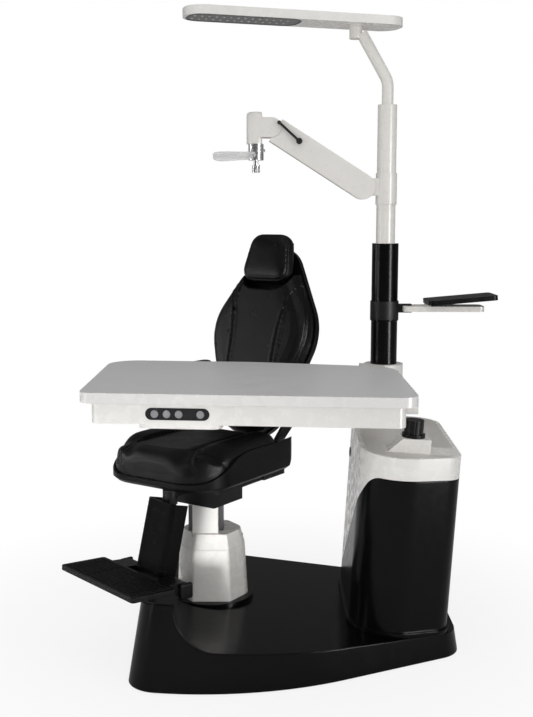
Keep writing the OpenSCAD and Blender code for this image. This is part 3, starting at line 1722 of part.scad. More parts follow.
module clear_plate() {
  x1 = nose_cx - holder_r;
  l = clear_l;
  color("lightblue", 0.4) difference() {
    translate([x1 + stem_r, pole_y - holder_r, holder_z + stem_r * 1.5]) rotate([-clear_tilt, 0, 0])
      translate([-l, -clear_d * 0.4, 0]) linear_extrude(clear_t)
        outline([[clear_d * 0.3, clear_d * 0.3, clear_d * 0.3], [l, clear_d * 0.15, clear_d * 0.15],
          [l, clear_d * 0.6, clear_d * 0.15], [clear_d * 0.3, clear_d * 0.7, clear_d * 0.3]]);
    post(nose_cx, pole_y, 0, cut * 2, holder_r);
  }
}

// Lamp

module lamp_tube() {
  r = lamp_tube_r;
  b = lamp_bend_r;
  a = bend_angle;
  bx = pole_x - b * (1 - cos(a));
  bz = lamp_bend_z + b * sin(a);
  l = (lamp_tube_reach - b * (1 - cos(a))) / sin(a);
  color("whitesmoke") {
    difference() {
      union() {
        post(pole_x, pole_y, up_pole_top - lamp_tube_in, lamp_bend_z, r);
        post(pole_x, pole_y, up_pole_top - lamp_tube_in, up_pole_top, up_pole_r - pole_wall - pin_fit);
        post(pole_x, pole_y, up_pole_top, up_pole_top + pole_wall, up_pole_r);
      }
      post(pole_x, pole_y, 0, lamp_bend_z - over, r - pole_wall);
    }
    translate([pole_x - b, pole_y, lamp_bend_z]) rotate([90, 0, 0]) rotate_extrude(angle = a)
      translate([b, 0]) circle(r);
    difference() {
      union() {
        translate([bx, pole_y, bz]) rotate([0, -a, 0]) cylinder(h = l, r = r * 0.995);
        post(lamp_px, pole_y, lamp_pivot_z, lamp_z, lamp_pivot_r * 1.1);
      }
      post(lamp_px, pole_y, lamp_z - lamp_h, lamp_z + over, lamp_pivot_r / 2 + pin_fit);
    }
  }
}

module in_lamp() {
  translate([lamp_px, pole_y, lamp_z]) rotate([0, 0, lamp_turn]) translate([-lamp_mid, -lamp_side / 2, 0]) children();
}

module lamp_plan(inset) {
  outline(corners(-lamp_l / 2, lamp_l / 2, -lamp_w / 2, lamp_w / 2, lamp_corner), inset, seam / 30);
}

module window_plan(inset) {
  x0 = -lamp_l / 2 + lamp_w / 9;
  outline(corners(x0, x0 + window_l, -window_w / 2, window_w / 2, lamp_corner * 0.7), inset, seam / 30);
}

module lamp_housing() {
  w = lamp_wall;
  color("whitesmoke") {
    in_lamp() difference() {
      linear_extrude(lamp_h) lamp_plan(0);
      translate([0, 0, w]) linear_extrude(lamp_h - w * 2) lamp_plan(w);
      translate([0, 0, -over]) linear_extrude(w * 2) window_plan(0);
    }
    post(lamp_px, pole_y, lamp_z - lamp_h + pole_gap, lamp_z + lamp_h / 2, lamp_pivot_r / 2);
    post(lamp_px, pole_y, lamp_z, lamp_z + lamp_h / 2, lamp_pivot_r);
  }
}

module lamp_window() {
  color("gainsboro") in_lamp() {
    linear_extrude(lamp_wall) window_plan(slide_gap / 4);
    translate([0, 0, lamp_wall]) linear_extrude(window_t - lamp_wall) window_plan(-lamp_wall * 1.5);
  }
}

base_plate();
levelling_feet();
base_cover();
lift_mast();
lift_drive();
drive_rod();
column_cover_lower();
column_cover_upper();
cover_screws();
lift_column();
guide_rails();
swivel_bearing();
seat_frame();
seat_shell();
seat_cushion();
back_brackets();
hinge_pins();
back_shell();
back_cushion();
armrest_tube();
headrest_posts();
headrest_cushion();
left_armrest();
right_armrest();
leg_bracket();
leg_cover();
footplate();
footplate_mats();
footplate_pin();
stand_frame();
stand_lower_shell();
stand_upper_shell();
stand_lid();
side_socket();
side_insert();
main_knob();
table_hub();
table_tray();
table_slab();
table_surface();
control_panel();
chair_up_button();
chair_down_button();
lamp_button();
power_button();
lower_pole();
upper_pole();
shelf_collar();
shelf_bar();
shelf_pad();
arm_carriage();
refractor_arm();
arm_head();
tilt_lever();
refractor_holder();
holder_knob();
clear_plate();
lamp_tube();
lamp_housing();
lamp_window();
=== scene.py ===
import math

import bmesh
import bpy
from mathutils import Matrix, Vector
from mathutils.bvhtree import BVHTree
from mathutils.kdtree import KDTree


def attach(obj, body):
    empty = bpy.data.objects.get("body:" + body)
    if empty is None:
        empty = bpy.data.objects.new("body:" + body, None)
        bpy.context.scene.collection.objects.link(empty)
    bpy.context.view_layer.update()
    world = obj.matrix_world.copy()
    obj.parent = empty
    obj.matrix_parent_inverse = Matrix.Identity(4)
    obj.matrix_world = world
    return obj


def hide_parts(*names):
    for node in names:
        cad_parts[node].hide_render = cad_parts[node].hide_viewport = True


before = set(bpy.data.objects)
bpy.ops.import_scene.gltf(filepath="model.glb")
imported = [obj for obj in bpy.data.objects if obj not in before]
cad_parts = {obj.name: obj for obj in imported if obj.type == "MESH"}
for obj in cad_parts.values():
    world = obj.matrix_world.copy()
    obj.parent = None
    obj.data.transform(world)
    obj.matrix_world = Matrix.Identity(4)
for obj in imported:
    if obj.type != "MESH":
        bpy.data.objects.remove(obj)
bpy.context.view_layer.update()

# The studio. A pale floor under the unit that runs out to white, one big soft lamp in front,
# weaker ones at the sides, overhead and low at the column, three strips that only draw
# highlights, and a camera at eye height three metres away.
focal_px, picture_px = 1059, 717
sensor_mm = 36
pitch, roll = math.radians(90 - 7.6), math.radians(0.07)
bpy.context.scene.view_settings.view_transform = "Standard"

camera = bpy.data.objects.new("camera", bpy.data.cameras.new("camera"))
bpy.context.scene.collection.objects.link(camera)
camera.data.lens = sensor_mm * focal_px / picture_px
camera.data.sensor_width = sensor_mm
camera.location = (0.186, -3.195, 1.280)
camera.rotation_euler = (Matrix.Rotation(pitch, 3, "X") @ Matrix.Rotation(roll, 3, "Z")).to_euler()
bpy.context.scene.camera = camera


def softbox(name, place, target, width, height, power, spread=180, soft=True, shine=True):
    """a lamp panel: soft=False keeps it to highlights, shine=False keeps it out of them"""
    lamp = bpy.data.lights.new(name, "AREA")
    lamp.shape = "RECTANGLE"
    lamp.size, lamp.size_y, lamp.energy = width, height, power
    lamp.spread = math.radians(spread)
    box = bpy.data.objects.new(name, lamp)
    box.location = place
    box.rotation_euler = (Vector(place) - Vector(target)).to_track_quat("Z", "Y").to_euler()
    box.visible_diffuse, box.visible_glossy = soft, shine
    bpy.context.scene.collection.objects.link(box)


softbox("left_softbox", (-2.7, -2.2, 1.5), (0.1, 0, 0.7), 1.1, 2.6, 13, shine=False)
softbox("right_softbox", (2.9, -2.2, 1.6), (0.2, 0, 0.9), 0.8, 2.4, 18)
softbox("top_softbox", (0.2, -0.9, 4.2), (0.2, 0, 0.5), 3.0, 3.0, 33)
softbox("front_softbox", (-0.5, -4.6, 1.0), (0.15, 0, 0.6), 3.6, 1.6, 35, shine=False)
softbox("low_softbox", (-1.0, -2.4, 0.4), (0.0, 0, 0.37), 0.8, 0.3, 1.5, spread=26, shine=False)
softbox("left_strip", (-2.3, -1.0, 0.9), (0, -0.1, 0.8), 0.16, 1.3, 16, soft=False)
softbox("left_rear_strip", (-2.4, 0.3, 1.3), (0, 0, 1.1), 0.5, 1.0, 11, soft=False)
softbox("right_strip", (2.1, -1.5, 1.0), (0, -0.1, 0.8), 0.3, 1.6, 60, soft=False)

world = bpy.data.worlds.new("white_room")
bpy.context.scene.world = world
world.use_nodes = True
wn, wl = world.node_tree.nodes, world.node_tree.links
wn.clear()
room_light = wn.new("ShaderNodeBackground")
room_light.inputs["Color"].default_value = (1, 1, 1, 1)
room_ray = wn.new("ShaderNodeLightPath")
room_level = wn.new("ShaderNodeMapRange")
room_level.inputs["To Min"].default_value = 0.42
room_level.inputs["To Max"].default_value = 0.16
wl.new(room_ray.outputs["Is Glossy Ray"], room_level.inputs["Value"])
wl.new(room_level.outputs["Result"], room_light.inputs["Strength"])
room_white = wn.new("ShaderNodeBackground")
room_white.inputs["Color"].default_value = (1, 1, 1, 1)
room_white.inputs["Strength"].default_value = 1.0


def seen_ray(nodes, links):
    """1 where a camera or glass ray arrives, 0 for all other light"""
    path = nodes.new("ShaderNodeLightPath")
    both = nodes.new("ShaderNodeMath")
    both.operation = "MAXIMUM"
    links.new(path.outputs["Is Camera Ray"], both.inputs[0])
    links.new(path.outputs["Is Transmission Ray"], both.inputs[1])
    return both.outputs[0]


pick = wn.new("ShaderNodeMixShader")
wl.new(seen_ray(wn, wl), pick.inputs["Fac"])
wl.new(room_light.outputs[0], pick.inputs[1])
wl.new(room_white.outputs[0], pick.inputs[2])
wl.new(pick.outputs[0], wn.new("ShaderNodeOutputWorld").inputs["Surface"])

floor_radius, shadow_reach, white_from = 9, 0.6, 1.5
floor_mesh = bpy.data.meshes.new("floor")
floor_bm = bmesh.new()
bmesh.ops.create_circle(floor_bm, cap_ends=True, segments=96, radius=floor_radius)
floor_bm.to_mesh(floor_mesh)
floor = bpy.data.objects.new("floor", floor_mesh)
floor.location = (0.2, 0, -0.0005)
bpy.context.scene.collection.objects.link(floor)
floor_paper = bpy.data.materials.new("floor_paper")
floor_paper.use_nodes = True
fn, fl = floor_paper.node_tree.nodes, floor_paper.node_tree.links
fn.clear()
paper = fn.new("ShaderNodeBsdfDiffuse")
paper.inputs["Color"].default_value = (0.93, 0.93, 0.93, 1)
lit = fn.new("ShaderNodeEmission")
lit.inputs["Color"].default_value = (1, 1, 1, 1)
place = fn.new("ShaderNodeTexCoord")
length = fn.new("ShaderNodeVectorMath")
length.operation = "LENGTH"
fl.new(place.outputs["Object"], length.inputs[0])
edge = fn.new("ShaderNodeMapRange")
edge.interpolation_type = "SMOOTHSTEP"
edge.inputs["From Min"].default_value = shadow_reach
edge.inputs["From Max"].default_value = white_from
edge.inputs["To Min"].default_value = 0.84
fl.new(length.outputs["Value"], edge.inputs["Value"])
far = fn.new("ShaderNodeMath")
far.operation = "MULTIPLY"
fl.new(edge.outputs["Result"], far.inputs[0])
fl.new(seen_ray(fn, fl), far.inputs[1])
floor_mix = fn.new("ShaderNodeMixShader")
fl.new(far.outputs[0], floor_mix.inputs["Fac"])
fl.new(paper.outputs[0], floor_mix.inputs[1])
fl.new(lit.outputs[0], floor_mix.inputs[2])
fl.new(floor_mix.outputs[0], fn.new("ShaderNodeOutputMaterial").inputs["Surface"])
floor_mesh.materials.append(floor_paper)

# The base cover. One big vacuum-formed skirt of gloss black acrylic-capped plastic over a steel
# plate, with rolled edges and a raised boss round the column. It is the glossiest piece of all.


def noise(nodes, links, scale, detail, stretch=(1, 1, 1)):
    """noise in the object's own space, in metres"""
    place = nodes.new("ShaderNodeTexCoord")
    scaled = nodes.new("ShaderNodeMapping")
    scaled.inputs["Scale"].default_value = stretch
    links.new(place.outputs["Object"], scaled.inputs["Vector"])
    cloud = nodes.new("ShaderNodeTexNoise")
    cloud.inputs["Scale"].default_value = scale
    cloud.inputs["Detail"].default_value = detail
    links.new(scaled.outputs[0], cloud.inputs["Vector"])
    return cloud.outputs["Fac"]


def two_tone(nodes, links, fac, dark, light, low=0.3, high=0.7):
    ramp = nodes.new("ShaderNodeValToRGB")
    ramp.color_ramp.elements[0].position, ramp.color_ramp.elements[1].position = low, high
    ramp.color_ramp.elements[0].color = (*dark, 1)
    ramp.color_ramp.elements[1].color = (*light, 1)
    links.new(fac, ramp.inputs["Fac"])
    return ramp.outputs["Color"]


def spread(nodes, links, fac, low, high):
    span = nodes.new("ShaderNodeMapRange")
    span.inputs["From Min"].default_value = 0.3
    span.inputs["From Max"].default_value = 0.7
    span.inputs["To Min"].default_value = low
    span.inputs["To Max"].default_value = high
    links.new(fac, span.inputs["Value"])
    return span.outputs["Result"]


def relief(nodes, links, height, distance, strength, edge=0.0):
    """surface relief over edges that are broken to a small radius"""
    bump = nodes.new("ShaderNodeBump")
    bump.inputs["Distance"].default_value = distance
    bump.inputs["Strength"].default_value = strength
    links.new(height, bump.inputs["Height"])
    if edge:
        broken = nodes.new("ShaderNodeBevel")
        broken.samples = 4
        broken.inputs["Radius"].default_value = edge
        links.new(broken.outputs[0], bump.inputs["Normal"])
    return bump.outputs[0]


def shader(name, **values):
    finish = bpy.data.materials.new(name)
    finish.use_nodes = True
    nodes, links = finish.node_tree.nodes, finish.node_tree.links
    surface = nodes["Principled BSDF"]
    for key, value in values.items():
        surface.inputs[key.replace("_", " ").title().replace("Ior", "IOR")].default_value = value
    return finish, nodes, links, surface


def moulding(name, colour, rough, grain=0.12, edge=0.0012, gloss=0.5, shift=0.1):
    """moulded or lacquered plastic: faint cloud in the colour, fine orange peel, handled gloss"""
    finish, nodes, links, surface = shader(name, specular_ior_level=gloss)
    cloud = noise(nodes, links, 7, 4)
    dark = [c * (1 - shift) for c in colour]
    light = [min(1, c * (1 + shift)) for c in colour]
    links.new(two_tone(nodes, links, cloud, dark, light), surface.inputs["Base Color"])
    uneven = spread(nodes, links, noise(nodes, links, 38, 5), rough * 0.85, rough * 1.2)
    links.new(uneven, surface.inputs["Roughness"])
    grain_relief = relief(nodes, links, noise(nodes, links, 520, 3), 0.0004, grain, edge)
    links.new(grain_relief, surface.inputs["Normal"])
    return finish


def dress(finish, slot, *names):
    """one finish on several CAD pieces"""
    for name in names:
        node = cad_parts[name]
        node.data.materials.clear()
        node.data.materials.append(finish)


gloss_black = moulding("gloss_black_cover", (0.002, 0.002, 0.0022), 0.2, 0.05, 0.006, 0.12)
dress(gloss_black, "black_gloss", "base_cover")


def powder_coat(name, colour, rough=0.42, grain=0.3, edge=0.0008, shift=0.06, gloss=0.4):
    """baked powder paint on steel: a fine pebble with slightly uneven sheen"""
    finish, nodes, links, surface = shader(name, specular_ior_level=gloss)
    cloud = noise(nodes, links, 11, 4)
    dark = [c * (1 - shift) for c in colour]
    light = [min(1, c * (1 + shift)) for c in colour]
    links.new(two_tone(nodes, links, cloud, dark, light), surface.inputs["Base Color"])
    uneven = spread(nodes, links, noise(nodes, links, 60, 3), rough * 0.85, rough * 1.15)
    links.new(uneven, surface.inputs["Roughness"])
    grain_relief = relief(nodes, links, noise(nodes, links, 1300, 2), 0.0003, grain, edge)
    links.new(grain_relief, surface.inputs["Normal"])
    return finish


black_steel = powder_coat("black_powder_coat", (0.009, 0.009, 0.0095), gloss=0.2)
dress(black_steel, "black_paint", "base_plate")


def rubber_compound(name, colour, rough=0.72, grain=0.5):
    """moulded rubber: matt, a little dusty where it is handled"""
    finish, nodes, links, surface = shader(name, specular_ior_level=0.15)
    cloud = noise(nodes, links, 26, 6)
    dark = [c * 0.8 for c in colour]
    light = [c * 1.3 for c in colour]
    links.new(two_tone(nodes, links, cloud, dark, light), surface.inputs["Base Color"])
    uneven = spread(nodes, links, noise(nodes, links, 90, 4), rough * 0.9, rough * 1.1)
    links.new(uneven, surface.inputs["Roughness"])
    grain_relief = relief(nodes, links, noise(nodes, links, 900, 4), 0.0004, grain, 0.0006)
    links.new(grain_relief, surface.inputs["Normal"])
    return finish


black_rubber = rubber_compound("black_rubber", (0.008, 0.008, 0.008))
dress(black_rubber, "rubber", "levelling_feet")

# The column. A round-edged white cover in two halves with a screwed upper lip, and inside it the
# painted lift column that slides on two dark rails, the steel mast, the drive and its rod.
gloss_white = moulding("gloss_white_cover", (0.80, 0.785, 0.755), 0.26, 0.06, 0.0015, 0.4, 0.02)
dress(gloss_white, "white_gloss", "column_cover_lower", "column_cover_upper")
white_paint = powder_coat("white_powder_coat", (0.80, 0.785, 0.755), 0.36, 0.16, 0.0012, 0.02)
dress(white_paint, "white_paint", "lift_column")
grey_paint = powder_coat("grey_powder_coat", (0.17, 0.172, 0.175))
dress(grey_paint, "grey_paint", "lift_drive", "stand_frame")


def turned_steel(name, colour, rough, stretch, grain=0.25, edge=0.0004):
    """bright steel with the fine lines of its last cut"""
    finish, nodes, links, surface = shader(name, metallic=1.0)
    lines = noise(nodes, links, 60, 5, stretch)
    dark = [c * 0.86 for c in colour]
    links.new(two_tone(nodes, links, lines, dark, colour), surface.inputs["Base Color"])
    links.new(spread(nodes, links, lines, rough * 0.8, rough * 1.3), surface.inputs["Roughness"])
    links.new(relief(nodes, links, lines, 0.0002, grain, edge), surface.inputs["Normal"])
    return finish


rail_steel = turned_steel("dark_rail_steel", (0.20, 0.20, 0.21), 0.34, (14, 14, 0.4))
dress(rail_steel, "steel", "guide_rails", "lift_mast")
pin_steel = turned_steel("bright_pin_steel", (0.62, 0.62, 0.63), 0.2, (1, 1, 16))
dress(pin_steel, "bright", "cover_screws", "drive_rod", "hinge_pins", "headrest_posts", "armrest_tube")
dress(rail_steel, "steel", "footplate_pin")

# The seat frame and the slewing bearing under it, and the two brackets that carry the backrest.
# All of it is welded or turned steel under black powder paint.
dress(black_steel, "black_paint", "seat_frame", "back_brackets", "leg_bracket")
dress(turned_steel("bearing_steel", (0.42, 0.42, 0.43), 0.3, (1, 1, 12)), "steel", "swivel_bearing")

# The shells. A deep dish of black plastic under the seat pad and a moulded back for the backrest
# pad, both satin outside, with rims that the covers tuck in behind.
satin_black = moulding("satin_black_shell", (0.003, 0.003, 0.0033), 0.32, 0.12, 0.0018, 0.12)
dress(satin_black, "black_plastic", "seat_shell", "back_shell")

# The seat pad. Cut foam under black leatherette, one cover of three panels: a middle and two side
# rolls, joined by felled seams with two rows of stitching.
chair_turn = math.radians(-34)
chair = Matrix.Rotation(chair_turn, 4, "Z")


def leatherette(name, colour, rough=0.38):
    """coated hide: small polygonal grain, creases between the cells, soft uneven sheen"""
    finish, nodes, links, surface = shader(name, specular_ior_level=0.2)
    cloud = noise(nodes, links, 9, 5)
    dark = [c * 0.8 for c in colour]
    light = [c * 1.25 for c in colour]
    links.new(two_tone(nodes, links, cloud, dark, light), surface.inputs["Base Color"])
    uneven = spread(nodes, links, noise(nodes, links, 24, 6), rough * 0.86, rough * 1.2)
    links.new(uneven, surface.inputs["Roughness"])
    place = nodes.new("ShaderNodeTexCoord")
    cells = nodes.new("ShaderNodeTexVoronoi")
    cells.feature = "DISTANCE_TO_EDGE"
    cells.inputs["Scale"].default_value = 620
    links.new(place.outputs["Object"], cells.inputs["Vector"])
    pores = spread(nodes, links, cells.outputs["Distance"], 0.0, 1.0)
    pores.node.inputs["From Min"].default_value = 0.0
    pores.node.inputs["From Max"].default_value = 0.22
    fine = nodes.new("ShaderNodeMath")
    fine.operation = "MULTIPLY_ADD"
    fine.inputs[1].default_value = 0.5
    links.new(noise(nodes, links, 140, 5), fine.inputs[0])
    links.new(pores, fine.inputs[2])
    links.new(relief(nodes, links, fine.outputs[0], 0.00022, 0.45), surface.inputs["Normal"])
    return finish


black_leather = leatherette("black_leatherette", (0.0025, 0.0025, 0.0027), 0.31)


def padded_cover(name, node, voxel, swell, cap, proud, free, melt=0):
    """The pad as it comes from the foam: the CAD form wrapped in cloth and blown up a little.

    proud(point) is how far a point may stand off the CAD form, and free(point) is False where
    the pad lies on its shell.
    """
    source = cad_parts[node]
    mesh = source.data.copy()
    pad = bpy.data.objects.new(name, mesh)
    bpy.context.scene.collection.objects.link(pad)
    shell = bmesh.new()
    shell.from_mesh(mesh)
    bmesh.ops.remove_doubles(shell, verts=shell.verts, dist=2e-5)
    hard = BVHTree.FromBMesh(shell)
    shell.to_mesh(mesh)
    shell.free()
    bpy.context.view_layer.objects.active = pad
    remesh = pad.modifiers.new("foam_block", "REMESH")
    remesh.mode, remesh.voxel_size, remesh.adaptivity = "VOXEL", voxel, 0
    round_off = pad.modifiers.new("cut_corners", "SMOOTH")
    round_off.factor, round_off.iterations = 0.5, 8
    bake(pad)
    if melt:
        soft = pad.vertex_groups.new(name="soft")
        soft.add([v.index for v in pad.data.vertices if free(v.co)], 1.0, "REPLACE")
        even = pad.modifiers.new("even_foam", "SMOOTH")
        even.factor, even.iterations, even.vertex_group = 0.6, melt, "soft"
        bake(pad)
    start = [v.co.copy() for v in pad.data.vertices]
    if swell:
        cloth = pad.modifiers.new("stretched_cover", "CLOTH")
        cloth.settings.effector_weights.gravity = 0
        cloth.settings.use_pressure = True
        cloth.settings.uniform_pressure_force = swell
        cloth.settings.tension_stiffness = 18
        cloth.settings.bending_stiffness = 8
        cloth.settings.quality = 4
        cloth.point_cache.frame_start, cloth.point_cache.frame_end = 1, 20
        for step in range(1, 21):
            bpy.context.scene.frame_set(step)
        bake(pad)
        bpy.context.scene.frame_set(1)
    for v, rest in zip(pad.data.vertices, start):
        move = v.co - rest
        if move.length > cap:
            v.co = rest + move * (cap / move.length)
        if not free(rest):
            v.co = rest
    loose = pad.vertex_groups.new(name="loose")
    loose.add([i for i, rest in enumerate(start) if free(rest)], 1.0, "REPLACE")
    settle = pad.modifiers.new("settled_foam", "SMOOTH")
    settle.factor, settle.iterations, settle.vertex_group = 0.6, 14, "loose"
    bake(pad)
    subdivide = pad.modifiers.new("fine_cover", "SUBSURF")
    subdivide.levels = subdivide.render_levels = 1
    bake(pad)
    for v in pad.data.vertices:
        near, normal, _, gap = hard.find_nearest(v.co)
        outside = (v.co - near).dot(normal) > 0
        if outside and gap > proud(v.co):
            v.co = near + (v.co - near) * (proud(v.co) / gap)
    for polygon in pad.data.polygons:
        polygon.use_smooth = True
    pad.data.materials.clear()
    pad.data.materials.append(black_leather)
    return pad


def bake(piece):
    """turns what the modifiers show into the piece's own mesh"""
    shown = piece.evaluated_get(bpy.context.evaluated_depsgraph_get())
    made = bpy.data.meshes.new_from_object(shown)
    piece.modifiers.clear()
    piece.data = made


def densify(points, step=0.002):
    """even steps along a line of points"""
    out = [Vector(points[0])]
    for a, b in zip(points, points[1:]):
        a, b = Vector(a), Vector(b)
        count = max(1, int((b - a).length / step))
        out += [a.lerp(b, (i + 1) / count) for i in range(count)]
    return out


def rounded(points, rounds=3):
    """a line of points with its corners cut, ends kept"""
    line = [Vector(p) for p in points]
    for _ in range(rounds):
        cut = [line[0]]
        for a, b in zip(line, line[1:]):
            cut += [a.lerp(b, 0.25), a.lerp(b, 0.75)]
        line = cut + [line[-1]]
    return line


pucker_pitch = 0.017


def sew(pad, seams, depth=0.0028, width=0.0042, pucker=0.0006):
    """draws the cover in along each seam, with small puckers across it; seams in the object's frame"""
    tree = BVHTree.FromObject(pad, bpy.context.evaluated_depsgraph_get())
    normals = [v.normal.copy() for v in pad.data.vertices]
    laid = []
    for seam in seams:
        laid.append([tree.find_nearest(p)[0] for p in densify(rounded(seam))])
    count = sum(len(line) for line in laid)
    index = KDTree(count)
    along, k = [], 0
    for line in laid:
        run = 0.0
        for i, p in enumerate(line):
            run += (p - line[i - 1]).length if i else 0.0
            index.insert(p, k)
            along.append(run)
            k += 1
    index.balance()
    for v, normal in zip(pad.data.vertices, normals):
        _, which, gap = index.find(v.co)
        if gap > width * 5:
            continue
        groove = depth * math.exp(-(gap / width) ** 2 * 1.6)
        swell = depth * 0.35 * math.exp(-((gap - width * 2.1) / width) ** 2)
        fade = math.exp(-(gap / (width * 2.4)) ** 2)
        wave = pucker * math.sin(along[which] * 2 * math.pi / pucker_pitch) * fade
        v.co += normal * (swell - groove + wave)
    pad.data.update()
    return laid


black_thread = leatherette("black_thread", (0.03, 0.03, 0.031), 0.5)


def stitching(name, pad, lines, offset=0.0045, pitch=0.0042, long=0.003, thick=0.00055, body=None):
    """two rows of single stitches, one on each side of every seam"""
    tree = BVHTree.FromObject(pad, bpy.context.evaluated_depsgraph_get())
    bm = bmesh.new()
    for line in lines:
        run, due = 0.0, pitch
        for a, b in zip(line, line[1:]):
            run += (b - a).length
            if run < due or (b - a).length < 1e-6:
                continue
            due += pitch
            ahead = (b - a).normalized()
            _, up, _, _ = tree.find_nearest(a)
            side = up.cross(ahead).normalized()
            for m in (-1, 1):
                spot, up2, _, _ = tree.find_nearest(a + side * m * offset)
                base = spot + up2 * thick * 0.4
                rim = [bm.verts.new(base + side * thick * s + up2 * thick * u)
                       for s, u in ((1, 0), (0, 1), (-1, 0), (0, -1))]
                tips = [bm.verts.new(base + ahead * long / 2 * e) for e in (-1, 1)]
                for i in range(4):
                    bm.faces.new((rim[i], rim[(i + 1) % 4], tips[1]))
                    bm.faces.new((rim[(i + 1) % 4], rim[i], tips[0]))
    mesh = bpy.data.meshes.new(name)
    bm.to_mesh(mesh)
    bm.free()
    mesh.materials.append(black_thread)
    thread = bpy.data.objects.new(name, mesh)
    bpy.context.scene.collection.objects.link(thread)
    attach(thread, body)
    return thread


def in_chair(x, y, z):
    return chair @ Vector((x, y, z))


seat_pad = padded_cover(
    "seat_pad", "seat_cushion", 0.006, 2.0, 0.008,
    lambda p: 0.0055 if p.z > 0.595 else 0.0005,
    lambda p: p.z > 0.556, 60)
seat_seams = []
for m in (-1, 1):
    seat_seams.append([in_chair(m * x, y, z) for x, y, z in (
        (0.150, -0.240, 0.556), (0.139, -0.248, 0.580), (0.128, -0.242, 0.600), (0.119, -0.225, 0.611),
        (0.115, -0.190, 0.614), (0.117, -0.120, 0.612), (0.118, -0.040, 0.612), (0.118, 0.120, 0.610))])
seat_lines = sew(seat_pad, seat_seams, 0.0016, 0.0045, 0.0006)
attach(seat_pad, "chair")
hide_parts("seat_cushion")
stitching("seat_stitching", seat_pad, seat_lines, body="chair")

# The backrest pad. The same leatherette over shaped foam on the back shell: a middle panel and
# two side panels that run up under the headrest, felled and double-stitched, with a welt outside.
back_hinge, back_lean = (0, 0.162, 0.585), math.radians(-16.5)
back = chair @ Matrix.Translation(back_hinge) @ Matrix.Rotation(back_lean, 4, "X")


def back_depth(p):
    """how far a point lies behind the backrest's front plane"""
    return (back.inverted() @ p).y


back_pad = padded_cover(
    "back_pad", "back_cushion", 0.0055, 4.0, 0.012,
    lambda p: 0.004 if back_depth(p) < 0.055 else 0.0004,
    lambda p: back_depth(p) < 0.06)
back_seams = []
for m in (-1, 1):
    back_seams.append([back @ Vector((m * x, y, z)) for x, y, z in (
        (0.086, 0.02, 0.012), (0.084, 0.01, 0.08), (0.083, 0.006, 0.18), (0.084, 0.006, 0.26),
        (0.085, 0.006, 0.33), (0.092, 0.006, 0.40), (0.104, 0.009, 0.448), (0.115, 0.018, 0.485),
        (0.126, 0.045, 0.512))])
back_welts = []
for m in (-1, 1):
    back_welts.append([back @ Vector((m * x, y, z)) for x, y, z in (
        (0.105, 0.030, 0.06), (0.124, 0.028, 0.14), (0.144, 0.026, 0.20), (0.162, 0.025, 0.255),
        (0.174, 0.026, 0.298), (0.178, 0.027, 0.347), (0.171, 0.031, 0.413), (0.152, 0.044, 0.464),
        (0.130, 0.052, 0.51))])
sew(back_pad, back_welts, 0.002, 0.0035, 0.0002)
back_lines = sew(back_pad, back_seams)
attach(back_pad, "backrest")
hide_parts("back_cushion")
stitching("back_stitching", back_pad, back_lines, body="backrest")

# The headrest. A rounded block of foam in a two-part cover whose one seam runs round its edge,
# on two bright posts that slide in the backrest.
head_pad = padded_cover(
    "head_pad", "headrest_cushion", 0.0045, 4.0, 0.006,
    lambda p: 0.002 if back_depth(p) < 0.03 else 0.0002,
    lambda p: back_depth(p) < 0.035)
rim = []
rim_corner = 0.036
rim_places = ((0.047, 0.553, -90), (0.035, 0.629, 0), (-0.035, 0.629, 90), (-0.047, 0.553, 180))
for x, z, turn in rim_places:
    for i in range(7):
        a = math.radians(turn + i * 15)
        rim.append(back @ Vector((x + rim_corner * math.cos(a), 0.004, z + rim_corner * math.sin(a))))
rim.append(rim[0].copy())
sew(head_pad, [rim], 0.0016, 0.003, 0.0003)
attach(head_pad, "headrest")
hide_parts("headrest_cushion")

# The armrests. Two slim leatherette pads on a steel core. They turn on the cross tube behind the
# backrest and fold up beside it.
for side in ("left", "right"):
    node = side + "_armrest"
    arm_pad = padded_cover(side + "_arm_pad", node, 0.004, 3.0, 0.003, lambda p: 0.0006, lambda p: True)
    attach(arm_pad, "arm_" + side)
    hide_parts(node)

# The footrest. A folded black cover over the leg, a thick black plastic plate with three ribbed
# rubber mats let into it, and a moulded cap over each end of the plate's hinge.
leg_cover_black = moulding("leg_cover_black", (0.002, 0.002, 0.0022), 0.24, 0.12, 0.003, 0.1)
dress(leg_cover_black, "black_plastic", "leg_cover")
footplate_black = moulding("footplate_black", (0.006, 0.006, 0.0065), 0.3, 0.2, 0.003, 0.16)
dress(footplate_black, "black_plastic", "footplate")
dress(rubber_compound("mat_rubber", (0.003, 0.003, 0.0033), 0.5), "rubber", "footplate_mats")

leg_out, leg_turn = (0, -0.176, 0), math.radians(-15)
leg = chair @ Matrix.Translation(leg_out) @ Matrix.Rotation(leg_turn, 4, "Z")
cap_size = Matrix.Diagonal((0.014, 0.044, 0.046, 1))
caps = bmesh.new()
for m in (-1, 1):
    spot = leg @ Matrix.Translation((m * 0.151, -0.057, 0.226))
    bmesh.ops.create_cube(caps, size=1.0, matrix=spot @ cap_size)
cap_mesh = bpy.data.meshes.new("hinge_caps")
caps.to_mesh(cap_mesh)
caps.free()
hinge_caps = bpy.data.objects.new("hinge_caps", cap_mesh)
bpy.context.scene.collection.objects.link(hinge_caps)
rounding = hinge_caps.modifiers.new("moulded_edges", "BEVEL")
rounding.width, rounding.segments = 0.006, 4
cap_mesh.materials.append(footplate_black)
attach(hinge_caps, "foot")

